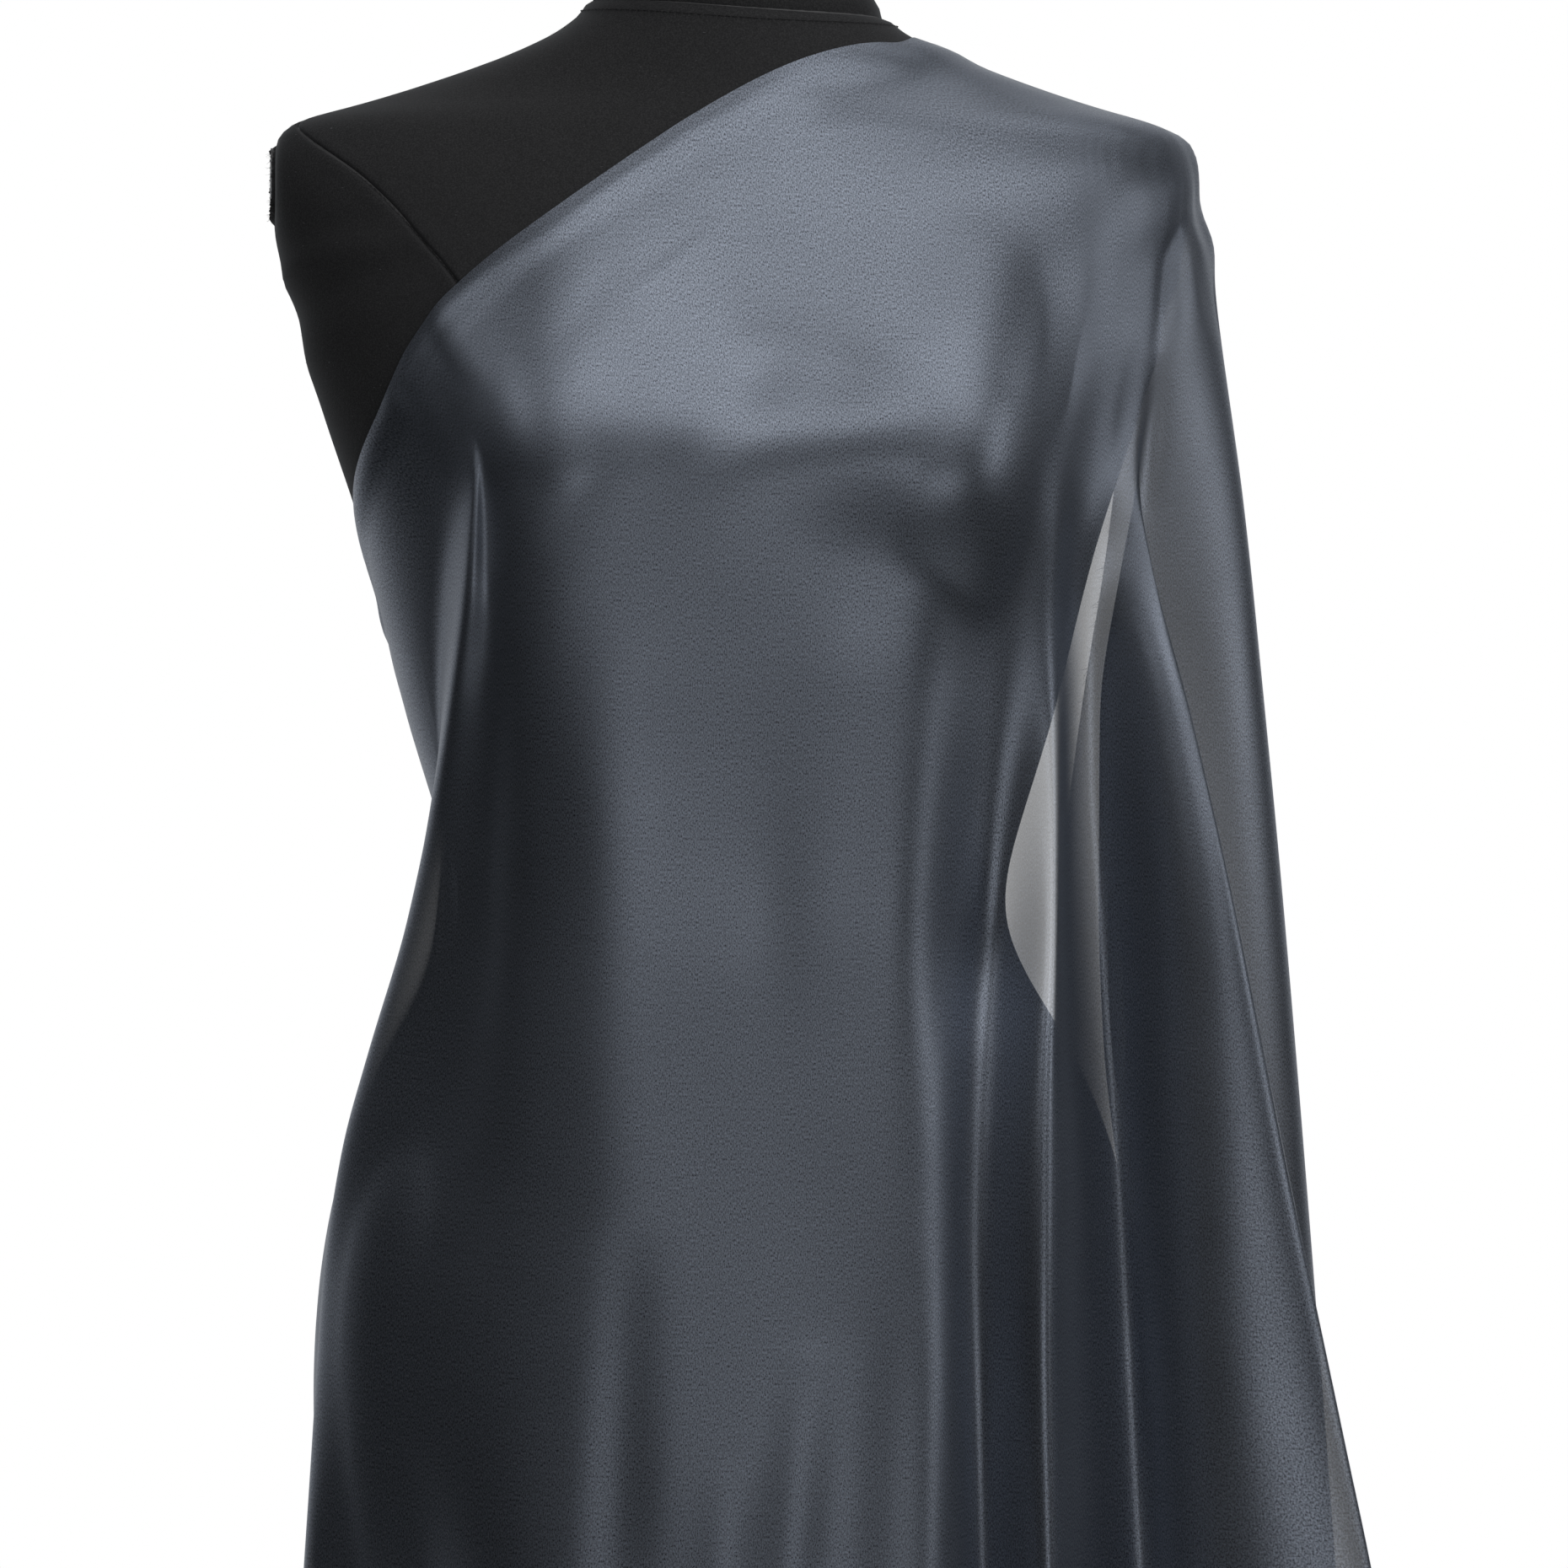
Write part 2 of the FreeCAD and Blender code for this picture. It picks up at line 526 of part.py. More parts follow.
def grown(found, distance):
    """Stations moved outwards, square to the side, front and back outlines, by a distance."""
    moved = []
    for i, station in enumerate(found):
        low, high = found[max(i - 1, 0)], found[min(i + 1, len(found) - 1)]
        rise = high["height"] - low["height"]
        slope = {k: (high[k] - low[k]) / rise for k in ("left", "front", "back")}
        tilt = math.hypot(1, slope["left"])
        lift = -slope["left"] / tilt * distance if 0 < i < len(found) - 1 else 0
        new = dict(station, height=station["height"] + lift)
        for key in ("left", "right", "front", "back"):
            lean = slope["left" if key == "right" else key]
            new[key] += distance * math.hypot(1, lean) + lift * lean
        moved.append(new)
    return moved


def section(station):
    """A closed smooth curve round the axis: a squarish ellipse with the bust standing out."""
    power = 2 / station["squareness"]
    points = []
    for i in range(SECTION_POINTS):
        turn = 2 * math.pi * (i + 0.5) / SECTION_POINTS
        cosine, sine = math.cos(turn), math.sin(turn)
        reach = station["left"] if cosine > 0 else station["right"]
        x = math.copysign(reach * abs(cosine) ** power, cosine)
        depth = station["front"] if sine < 0 else station["back"]
        y = math.copysign(depth * abs(sine) ** power, sine)
        if sine < 0:
            lobes = sum(math.exp(-(((x - side * BUST_REACH) / BUST_SPREAD) ** 2)) for side in (-1, 1))
            y -= station.get("bust", 0) * lobes * abs(sine) ** 0.7
        points.append(Vector(x, y, station["height"]))
    curve = Part.BSplineCurve()
    curve.interpolate(Points=points, PeriodicFlag=True)
    return Part.Wire([curve.toShape()])


def loft(found):
    """A solid skinned over the sections of some stations."""
    return Part.makeLoft([section(station) for station in found], True, False, False, 5)


def feature(name, shape):
    """A document object that holds a shape made with Part's own functions."""
    made = DOC.addObject("Part::Feature", name)
    made.Shape = shape
    return made


def without_arm_ends(shape, inset=0):
    """A shape cut off square where the arms would begin, or an inset nearer to the middle."""
    end = size("arm_end") - inset
    for side in (-1, 1):
        corner = Vector(end if side > 0 else -end - PAST, -PAST, size("waist"))
        shape = shape.cut(Part.makeBox(PAST, 2 * PAST, 2 * PAST, corner))
    return shape


def outline_prism(seam, near, far):
    """The space in front of or behind a pair of mirrored seams, from depth near to depth far."""
    waist = size("waist")
    left = [Vector(x, near, waist + z) for z, x in seam]
    right = [Vector(-x, near, waist + z) for z, x in reversed(seam)]
    face = Part.Face(Part.makePolygon(left + right + left[:1]))
    return face.extrude(Vector(0, far - near, 0))


def above_neck_seam():
    """The space above the slanting seam where the neck band begins."""
    reach = 120
    corners = []
    for x, y in ((-reach, -reach), (reach, -reach), (reach, reach), (-reach, reach)):
        z = (size("waist") + size("neck_seam_height") + size("neck_seam_fore_slope") * y
             - size("neck_seam_side_slope") * x)
        corners.append(Vector(x, y, z))
    return Part.Face(Part.makePolygon(corners + corners[:1])).extrude(Vector(0, 0, 2 * reach))


def torso():
    """Shell, bottom board, neck plug, arm plates and the sewn cover in its panels."""
    body = torso_stations()
    outer = loft(body)
    inner_stations = grown(body, -size("shell_wall"))
    inner = without_arm_ends(loft(inner_stations), size("shell_wall"))
    shell = without_arm_ends(outer).cut(inner)
    base = size("waist") + size("torso_bottom_height")
    top = size("waist") + size("torso_neck_top_height")
    plug_stations = grown(body, -size("shell_wall") - size("board_gap"))
    room = loft(plug_stations)
    thickness = size("board_thickness")
    slab = Part.makeBox(2 * PAST, 2 * PAST, thickness, Vector(-PAST, -PAST, base))
    sleeve_hole = Part.makeCylinder(size("sleeve_radius") + size("running_gap"), 2 * thickness,
                                    Vector(0, 0, base - thickness / 2))
    board = room.common(slab).cut(sleeve_hole)
    plug_base = top + size("cap_gap") - size("neck_plug_thickness")
    plug = Part.Face(section(dict(plug_stations[-1], height=plug_base)))
    parts = {
        "torso_shell": feature("torso_shell", shell),
        "bottom_board": feature("bottom_board", board),
        "board_screws": board_screws(),
        "neck_plug": feature("neck_plug", plug.extrude(Z_AXIS * size("neck_plug_thickness"))),
    }
    parts.update(arm_plates())
    parts.update(cover(body))
    return parts


def board_screws():
    """Four screws through the shell's rim into the edge of the bottom board."""
    screws = []
    height = size("waist") + size("torso_bottom_height") + size("board_thickness") / 2
    reaches = {0: "half_width", 90: "back", 180: "half_width", 270: "front"}
    for angle, field in reaches.items():
        out = Rotation(Z_AXIS, angle)
        start = size(f"torso_bottom_{field}") - size("board_screw_inset")
        at = out.multVec(X_AXIS) * start + Z_AXIS * height
        screws.append(cylinder(f"board_screw_{angle}", "board_screw_radius", "board_screw_length",
                               at=at, turned=out.multiply(Rotation(Y_AXIS, -90))))
    return group("board_screws", *screws)


def arm_plates():
    """Round plates on the flat arm ends."""
    found = {}
    for side, name in ((-1, "right"), (1, "left")):
        plate = cylinder(f"arm_plate_{name}", "arm_plate_radius", "arm_plate_thickness",
                         turned=Rotation(Y_AXIS, 90), y="shoulder_seam",
                         z="waist+arm_plate_height")
        start = "arm_end" if side > 0 else "0-arm_end-arm_plate_thickness"
        plate.setExpression("Placement.Base.x", cell(start))
        found[f"arm_plate_{name}"] = plate
    return found


def cover(body):
    """The stretch cover: front, back halves, sides, neck band and the hem turned under."""
    start = size("cover_gap")
    cloth = without_arm_ends(loft(grown(body, start + size("cover_thickness"))))
    cloth = cloth.cut(loft(grown(body, start)))
    band_space = above_neck_seam()
    band = cloth.common(band_space)
    cloth = cloth.cut(band_space)
    seam_plane = size("shoulder_seam")
    front_space = outline_prism(FRONT_SEAM, seam_plane, -PAST)
    back_space = outline_prism(BACK_SEAM, seam_plane, PAST)
    front = cloth.common(front_space)
    back = cloth.common(back_space)
    sides = cloth.cut(front_space).cut(back_space)
    base = size("waist") + size("torso_bottom_height")
    half = Part.makeBox(PAST, 2 * PAST, 3 * PAST, Vector(0, -PAST, base - PAST))
    rim = grown(body, start + size("cover_thickness"))[0]
    inset = {key: rim[key] - size("hem_width") for key in ("left", "right", "front", "back")}
    outer_face = Part.Face(section(dict(rim, height=base - size("hem_thickness"))))
    inner_face = Part.Face(section(dict(rim, height=base - size("hem_thickness"), **inset)))
    hem = outer_face.cut(inner_face).extrude(Z_AXIS * size("hem_thickness"))
    return {
        "cover_front": feature("cover_front", front),
        "cover_back_left": feature("cover_back_left", back.common(half)),
        "cover_back_right": feature("cover_back_right", back.cut(half)),
        "cover_side_left": feature("cover_side_left", sides.common(half)),
        "cover_side_right": feature("cover_side_right", sides.cut(half)),
        "cover_neck_band": feature("cover_neck_band", band),
        "cover_hem": feature("cover_hem", hem),
    }


def neck():
    """Turned cap and finial on the neck, held by one hanger screw."""
    seat = "waist+torso_neck_top_height+cap_gap"
    top = seat + "+cap_height"
    cap = lathe("neck_cap", [
        ("0", seat), ("cap_radius-edge", seat), ("cap_radius", seat + "+edge"),
        ("cap_radius", seat + "+cap_rim"), ("cap_radius-2*edge", seat + "+cap_rim+edge"),
        ("cap_radius-7*edge", seat + "+cap_height-edge/2"), ("finial_collar", top), ("0", top),
    ])
    finial = lathe("finial", [
        ("0", top), ("finial_collar", top), ("finial_collar", top + "+edge"),
        ("finial_neck", top + "+finial_collar_height"),
        ("finial_neck", top + "+finial_stem_height-2*edge"),
        ("finial_ball*0.75", top + "+finial_stem_height"),
        ("finial_ball", top + "+finial_stem_height*0.6+finial_height*0.4"),
        ("finial_ball*0.92", top + "+finial_stem_height*0.3+finial_height*0.7"),
        ("finial_ball*0.6", top + "+finial_height-2*edge"),
        ("finial_ball*0.25", top + "+finial_height-edge/2"), ("0", top + "+finial_height"),
    ])
    screw = cylinder("finial_screw", "finial_screw_radius",
                     "finial_screw_depth+cap_height+finial_screw_rise",
                     z=seat + "-finial_screw_depth")
    return {"neck_cap": cap, "finial": finial, "finial_screw": screw}


# ---------------------------------------------------------------- drape


def drape():
    """The satin as it hangs: a thin open shell from the back, under the right arm and across the
    chest to the left shoulder, and down behind it.  It leaves the middle of the back open."""
    outer = stations("drape", DRAPE, DRAPE_FIELDS)
    cloth = loft(outer).cut(loft(grown(outer, -size("drape_thickness"))))
    top = Vector(size("drape_top_x"), 0, size("drape_top_height"))
    under_arm = Vector(size("drape_under_arm_x"), 0, size("drape_under_arm_height"))
    beyond = under_arm + (under_arm - top)
    front = [beyond, top, top + Z_AXIS * PAST, beyond + Z_AXIS * PAST]
    pinned = Vector(size("drape_pinned_x"), 0, size("drape_pinned_height"))
    fall_low = Vector(size("drape_pinned_x"), 0, 0)
    back = [Vector(-PAST, 0, pinned.z), pinned, fall_low,
            Vector(size("drape_fall_x"), 0, 0), Vector(size("drape_fall_x"), 0, size("waist")),
            top, top + Z_AXIS * PAST, Vector(-PAST, 0, top.z + PAST)]
    for corners, depth in ((front, -PAST), (back, PAST)):
        space = Part.Face(Part.makePolygon(corners + corners[:1])).extrude(Y_AXIS * depth)
        cloth = cloth.cut(space)
    return {"satin_drape": feature("satin_drape", cloth)}


# ---------------------------------------------------------------- checks and output


def write_parts(parts):
    """Check every object and sub-part, then write one STEP file for each sub-part."""
    DOC.recompute()
    for item in DOC.Objects:
        if {"Invalid", "Error"} & set(item.State):
            raise RuntimeError(f"{item.Name} failed: {item.State}")
    os.makedirs("parts", exist_ok=True)
    for label, item in parts.items():
        item.Label = label
        shape = item.Shape
        if shape.isNull() or not shape.isValid() or not shape.Solids:
            raise RuntimeError(f"{label} has no valid solid")
        shape.exportStep(f"parts/{label}.step")
        print(f"{label}: {len(shape.Solids)} solids, {shape.Volume / 1000:.1f} cm3")


def main():
    """Build the whole form and write its sub-parts."""
    put_sizes()
    parts = {}
    for made in (stand(), collar(), screw_clamp("height", "clamp_height"), mast(), socket(),
                 screw_clamp("swivel", "socket_clamp_height"), torso(), neck(), drape()):
        parts.update(made)
    write_parts(parts)


main()
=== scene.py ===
"""Looks of a draped dress form: sewn jersey cover, hanging satin, wood and steel stand."""

import logging
import math
from collections.abc import Sequence
from dataclasses import dataclass, field
from enum import Enum

import bmesh
import bpy
import numpy as np
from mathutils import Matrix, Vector
from mathutils.bvhtree import BVHTree


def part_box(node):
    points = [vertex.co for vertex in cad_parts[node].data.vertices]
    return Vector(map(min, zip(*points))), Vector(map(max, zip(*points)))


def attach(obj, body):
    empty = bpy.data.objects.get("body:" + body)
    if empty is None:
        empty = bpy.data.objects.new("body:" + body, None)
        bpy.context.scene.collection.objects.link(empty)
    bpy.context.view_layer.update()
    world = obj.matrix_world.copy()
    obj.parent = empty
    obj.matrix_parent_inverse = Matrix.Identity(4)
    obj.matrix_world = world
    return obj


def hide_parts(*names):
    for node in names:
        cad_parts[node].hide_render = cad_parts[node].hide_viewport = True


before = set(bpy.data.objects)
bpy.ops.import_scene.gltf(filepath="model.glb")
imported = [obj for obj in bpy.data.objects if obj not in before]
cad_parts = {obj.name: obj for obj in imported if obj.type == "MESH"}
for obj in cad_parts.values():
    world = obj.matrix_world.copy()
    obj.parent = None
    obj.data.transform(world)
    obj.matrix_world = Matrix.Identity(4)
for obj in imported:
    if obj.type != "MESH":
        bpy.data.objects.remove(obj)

LOG = logging.getLogger("dress_form")
MM = 0.001
Grid = np.ndarray
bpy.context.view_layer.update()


class Side(Enum):
    """The form's own sides, as signs along X."""

    RIGHT = -1
    LEFT = 1

    @property
    def word(self) -> str:
        """The side's name as the node names spell it."""
        return self.name.lower()


# ------------------------------------------------------------------ mesh helpers


def plain_object(name: str, mesh: bpy.types.Mesh) -> bpy.types.Object:
    """Link a mesh to the scene as an object at the origin.

    Args:
        name: The piece's name.
        mesh: Its mesh.

    Returns:
        The new object.
    """
    made = bpy.data.objects.new(name, mesh)
    bpy.context.scene.collection.objects.link(made)
    return made


def grid_quads(points: Grid, closed: bool) -> Grid:
    """Corner numbers of the quads between a grid's points.

    Args:
        points: Rows from top to bottom, columns anticlockwise from above.
        closed: Whether the last column joins the first.

    Returns:
        Four numbers for each quad, in the order that makes it face outwards.
    """
    index = np.arange(points.shape[0] * points.shape[1]).reshape(points.shape[:2])
    right = np.roll(index, -1, axis=1) if closed else index[:, 1:]
    left = index if closed else index[:, :-1]
    return np.stack([left[:-1], left[1:], right[1:], right[:-1]], axis=-1).reshape(-1, 4)


def grid_object(name: str, points: Grid, closed: bool = False,
                flat: Grid | None = None) -> bpy.types.Object:
    """Skin a grid of points with quads whose faces look outwards.

    Args:
        name: The piece's name.
        points: Rows from top to bottom, columns anticlockwise from above, in metres.
        closed: Whether the last column joins the first.
        flat: Each point's place on the flat cloth in metres, for a UV map if it gets one.

    Returns:
        The new object, smooth shaded.
    """
    quads = grid_quads(points, closed)
    mesh = bpy.data.meshes.new(name)
    mesh.from_pydata(points.reshape(-1, 3).tolist(), [], quads.tolist())
    mesh.polygons.foreach_set("use_smooth", np.ones(len(quads), bool))
    if flat is not None:
        layer = mesh.uv_layers.new(name="cloth")
        corners = np.empty(len(mesh.loops), np.int32)
        mesh.loops.foreach_get("vertex_index", corners)
        layer.data.foreach_set("uv", flat.reshape(-1, 2)[corners].ravel())
    mesh.update()
    return plain_object(name, mesh)


def finish_with(piece: bpy.types.Object, material: bpy.types.Material) -> None:
    """Give a piece one material, in place of what it has."""
    piece.data.materials.clear()
    piece.data.materials.append(material)


def grid_normals(points: Grid, closed: bool = False) -> Grid:
    """Unit normals of a grid of points, outwards for rows down and columns anticlockwise.

    Args:
        points: Rows from top to bottom, columns anticlockwise from above.
        closed: Whether the last column joins the first.

    Returns:
        A unit vector for each point.
    """
    if closed:
        across = np.roll(points, -1, axis=1) - np.roll(points, 1, axis=1)
    else:
        across = np.gradient(points, axis=1)
    down = np.gradient(points, axis=0)
    normal = np.cross(down, across)
    return normal / np.maximum(np.linalg.norm(normal, axis=-1, keepdims=True), 1e-12)


def blur(values: Grid, width: float, axis: int, wrap: bool) -> Grid:
    """Smooth an array along one axis with a bell-shaped kernel of a width in samples.

    Args:
        values: Any array.
        width: The kernel's width.
        axis: The axis to smooth along.
        wrap: Whether that axis runs round, not edge to edge.

    Returns:
        The smoothed array.
    """
    reach = int(3 * width) + 1
    offsets = np.arange(-reach, reach + 1)
    kernel = np.exp(-0.5 * (offsets / width) ** 2)
    kernel /= kernel.sum()
    pad = [(0, 0)] * values.ndim
    pad[axis] = (reach, reach)
    padded = np.pad(values, pad, mode="wrap" if wrap else "edge")
    moved = [np.take(padded, np.arange(values.shape[axis]) + k, axis=axis) * w
             for k, w in enumerate(kernel)]
    return np.sum(moved, axis=0)


def bump(distance: Grid, width: float) -> Grid:
    """A bell of height one over a distance, with a half width."""
    return np.exp(-(distance / width) ** 2)


def tree_of(points: Grid, closed: bool) -> BVHTree:
    """A search tree over a grid's quads.

    Args:
        points: Rows from top to bottom, columns anticlockwise from above.
        closed: Whether the last column joins the first.

    Returns:
        The tree.
    """
    quads = grid_quads(points, closed)
    return BVHTree.FromPolygons(points.reshape(-1, 3).tolist(), quads.tolist())


def node_tree(*names: str) -> tuple[BVHTree, list[str]]:
    """A search tree over some CAD nodes, with the node that each face belongs to.

    Args:
        names: The nodes' names.

    Returns:
        The tree, and the owner's name for each face.
    """
    points: list[tuple[float, ...]] = []
    faces: list[list[int]] = []
    owners: list[str] = []
    for name in names:
        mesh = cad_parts[name].data
        start = len(points)
        points += [tuple(v.co) for v in mesh.vertices]
        faces += [[start + i for i in p.vertices] for p in mesh.polygons]
        owners += [name] * len(mesh.polygons)
    return BVHTree.FromPolygons(points, faces), owners


# ------------------------------------------------------------------ finishes


class Nodes:
    """A material's node tree, with short ways to add to it."""

    def __init__(self, name: str) -> None:
        """Start a material that holds only its Principled shader and its output.

        Args:
            name: The material's name.
        """
        self.material = bpy.data.materials.new(name)
        self.material.use_nodes = True
        self.tree = self.material.node_tree
        self.shader = self.tree.nodes["Principled BSDF"]
        self.output = self.tree.nodes["Material Output"]

    def add(self, kind: str, **settings: object) -> bpy.types.Node:
        """Add a node; settings name its properties, or inputs in lower case with underscores.

        Args:
            kind: The node's type.
            settings: Values, nodes or sockets, by name.

        Returns:
            The node.
        """
        node = self.tree.nodes.new(kind)
        sockets = {s.name.lower().replace(" ", "_"): s for s in reversed(node.inputs)}
        for key, value in settings.items():
            if key in sockets:
                self.feed(sockets[key], value)
            else:
                setattr(node, key, value)
        return node

    def feed(self, socket: bpy.types.NodeSocket, value: object) -> None:
        """Link a node's first output or a socket to an input, or set the input's own value.

        Args:
            socket: The input.
            value: A node, a socket or a plain value.
        """
        if isinstance(value, bpy.types.Node):
            value = value.outputs[0]
        if isinstance(value, bpy.types.NodeSocket):
            self.tree.links.new(value, socket)
        else:
            socket.default_value = value

    def set(self, **inputs: object) -> None:
        """Set inputs of the Principled shader.

        Args:
            inputs: Values, nodes or sockets, by the input's name.
        """
        sockets = {s.name.lower().replace(" ", "_"): s for s in self.shader.inputs}
        for key, value in inputs.items():
            self.feed(sockets[key], value)

    def place(self, scale: tuple[float, float, float] = (1, 1, 1),
              source: str = "Object") -> bpy.types.NodeSocket:
        """Object or UV coordinates, stretched.

        Args:
            scale: Stretch along each axis.
            source: Which coordinates to take.

        Returns:
            The stretched coordinates.
        """
        coordinates = self.add("ShaderNodeTexCoord")
        mapping = self.add("ShaderNodeMapping", vector=coordinates.outputs[source])
        mapping.inputs["Scale"].default_value = scale
        return mapping.outputs[0]

    def noise(self, where: bpy.types.NodeSocket, scale: float, detail: float = 2.0,
              roughness: float = 0.5) -> bpy.types.NodeSocket:
        """Soft noise as a number."""
        return self.add("ShaderNodeTexNoise", vector=where, scale=scale, detail=detail,
                        roughness=roughness).outputs["Fac"]

    def ramp(self, value: bpy.types.NodeSocket, low: float, high: float, first: float = 0.0,
             last: float = 1.0) -> bpy.types.NodeSocket:
        """Map a number's range to another, clamped.

        Args:
            value: The number.
            low: Where the range begins.
            high: Where it ends.
            first: What the beginning maps to.
            last: What the end maps to.

        Returns:
            The mapped number.
        """
        node = self.add("ShaderNodeMapRange", value=value)
        for name, number in (("From Min", low), ("From Max", high), ("To Min", first),
                             ("To Max", last)):
            node.inputs[name].default_value = number
        return node.outputs[0]

    def mix(self, share: object, first: object, second: object) -> bpy.types.NodeSocket:
        """Mix two colours.

        Args:
            share: How much of the second colour there is.
            first: A colour or socket.
            second: A colour or socket.

        Returns:
            The mixed colour.
        """
        node = self.tree.nodes.new("ShaderNodeMix")
        node.data_type = "RGBA"
        self.feed(node.inputs[0], share)
        self.feed(node.inputs[6], first)
        self.feed(node.inputs[7], second)
        return node.outputs[2]

    def math(self, operation: str, first: object, second: object = 0.0) -> bpy.types.NodeSocket:
        """Combine two numbers.

        Args:
            operation: The operation's name.
            first: A number or socket.
            second: A number or socket.

        Returns:
            The result.
        """
        node = self.tree.nodes.new("ShaderNodeMath")
        node.operation = operation
        self.feed(node.inputs[0], first)
        self.feed(node.inputs[1], second)
        return node.outputs[0]

    def relief(self, height: object, depth: float, strength: float = 1.0) -> None:
        """Feed a height times a depth to the shader's normal, over what is there.

        Args:
            height: The height's socket.
            depth: Its scale in metres.
            strength: How much of it shows.
        """
        before = self.shader.inputs["Normal"].links
        node = self.add("ShaderNodeBump", height=height, strength=strength, distance=depth)
        if before:
            self.feed(node.inputs["Normal"], before[0].from_socket)
        self.set(normal=node)


Colour = tuple[float, float, float, float]


@dataclass(frozen=True)
class JerseyFinish:
    """Fine black knit with a soft sheen, faint ribs and specks of lint."""

    colour: Colour = (0.0135, 0.0135, 0.0145, 1)
    bright: Colour = (0.042, 0.042, 0.044, 1)
    lint: Colour = (0.12, 0.12, 0.13, 1)
    rib_pitch: float = 0.9 * MM
    cloud_scale: float = 9
    grain_scale: float = 1400
    speck_scale: float = 95

    def build(self) -> bpy.types.Material:
        """Make the material.

        Returns:
            The material.
        """
        n = Nodes("black_jersey")
        where = n.place()
        cloudy = n.noise(where, self.cloud_scale, 3)
        grain = n.noise(where, self.grain_scale, 2, 0.7)
        base = n.mix(n.ramp(cloudy, 0.3, 0.7), self.colour,
                     tuple(c * 1.5 for c in self.colour[:3]) + (1,))
        base = n.mix(n.ramp(grain, 0.4, 0.72), base, self.bright)
        cells = n.add("ShaderNodeTexVoronoi", vector=where, scale=self.speck_scale)
        speck = n.ramp(cells.outputs["Distance"], 0.03, 0.055, 1, 0)
        sparse = n.ramp(cells.outputs["Color"], 0.74, 0.76)
        lint = n.math("MULTIPLY", n.math("MULTIPLY", speck, sparse), 0.75)
        base = n.mix(lint, base, self.lint)
        n.set(base_color=base, roughness=0.8, sheen_weight=0.12, sheen_roughness=0.4,
              sheen_tint=(0.8, 0.85, 0.9, 1), specular_ior_level=0.25)
        ribs = n.add("ShaderNodeTexWave", vector=where, scale=0.32 / self.rib_pitch / 2,
                     distortion=0.6, detail=1.0)
        n.relief(ribs.outputs["Fac"], 0.05 * MM, 0.25)
        n.relief(grain, 0.12 * MM, 0.45)
        n.relief(cloudy, 1.0 * MM, 0.25)
        return n.material


@dataclass(frozen=True)
class SatinFinish:
    """Sheer satin: a broad soft sheen, fine weave, slubs across it, and a little see-through."""

    light: Colour = (0.38, 0.425, 0.505, 1)
    dark: Colour = (0.075, 0.083, 0.104, 1)
    slub: Colour = (0.15, 0.165, 0.2, 1)
    open_share: float = 0.29
    grain_pitch: float = 0.5 * MM
    slub_pitch: float = 1.6 * MM
    cloud_scale: float = 14
    sheen: tuple[float, float] = (0.37, 0.43)
    least_facing: float = 0.08

    def build(self) -> bpy.types.Material:
        """Make the material.

        Returns:
            The material.
        """
        n = Nodes("slate_satin")
        threads = n.place((1, 1, 1), "UV")
        grain = n.noise(n.place((1.0, 0.45, 1.0), "UV"), 1 / self.grain_pitch, 2, 0.65)
        slubs = n.noise(n.place((0.05, 1.0, 1.0), "UV"), 1 / self.slub_pitch, 3, 0.6)
        warps = n.noise(n.place((1.0, 0.03, 1.0), "UV"), 1 / self.slub_pitch, 2, 0.6)
        cloudy = n.noise(threads, self.cloud_scale, 3)
        base = n.mix(n.ramp(grain, 0.33, 0.67), self.dark, self.light)
        base = n.mix(n.ramp(slubs, 0.56, 0.76, 0, 0.4), base, self.slub)
        base = n.mix(n.ramp(warps, 0.58, 0.8, 0, 0.25), base, self.slub)
        n.set(base_color=base, roughness=n.ramp(cloudy, 0.3, 0.7, *self.sheen), metallic=0.85,
              alpha=self._cover_share(n), anisotropic=0.3)
        tangent = n.add("ShaderNodeTangent", direction_type="UV_MAP", uv_map="cloth")
        n.set(tangent=tangent)
        n.relief(grain, 0.1 * MM, 0.4)
        n.relief(slubs, 0.15 * MM, 0.35)
        return n.material

    def _cover_share(self, n: Nodes) -> bpy.types.NodeSocket:
        """How much of what lies behind is hidden: threads close up when seen aslant.

        Args:
            n: The material's nodes.

        Returns:
            The hidden share, from 0 to 1.
        """
        weight = n.add("ShaderNodeLayerWeight", blend=0.5)
        square = n.math("SUBTRACT", 1.0, weight.outputs["Facing"])
        through = n.math("POWER", self.open_share,
                         n.math("DIVIDE", 1.0, n.math("MAXIMUM", square, self.least_facing)))
        return n.math("SUBTRACT", 1.0, through)


@dataclass(frozen=True)
class WoodFinish:
    """Stained, lacquered beech with grain along one direction."""

    name: str
    light: Colour = (0.21, 0.085, 0.035, 1)
    dark: Colour = (0.075, 0.026, 0.012, 1)
    stretch: tuple[float, float, float] = (1, 1, 0.07)
    roughness: float = 0.32
    warp_scale: float = 14
    ring_scale: float = 95
    pore_scale: float = 900

    def build(self) -> bpy.types.Material:
        """Make the material.

        Returns:
            The material.
        """
        n = Nodes(self.name)
        where = n.place(self.stretch)
        warp = n.noise(where, self.warp_scale, 4)
        rings = n.noise(where, self.ring_scale, 5, 0.62)
        pores = n.noise(where, self.pore_scale, 2, 0.6)
        tone = n.math("ADD", n.math("MULTIPLY", rings, 0.65), n.math("MULTIPLY", warp, 0.35))
        base = n.mix(n.ramp(tone, 0.36, 0.66), self.dark, self.light)
        base = n.mix(n.ramp(pores, 0.6, 0.75, 0, 0.5), base, self.dark)
        n.set(base_color=base, roughness=n.ramp(rings, 0.3, 0.7, self.roughness, 0.45),
              coat_weight=0.25, coat_roughness=0.2)
        n.relief(pores, 0.12 * MM, 0.3)
        n.relief(rings, 0.2 * MM, 0.2)
        return n.material


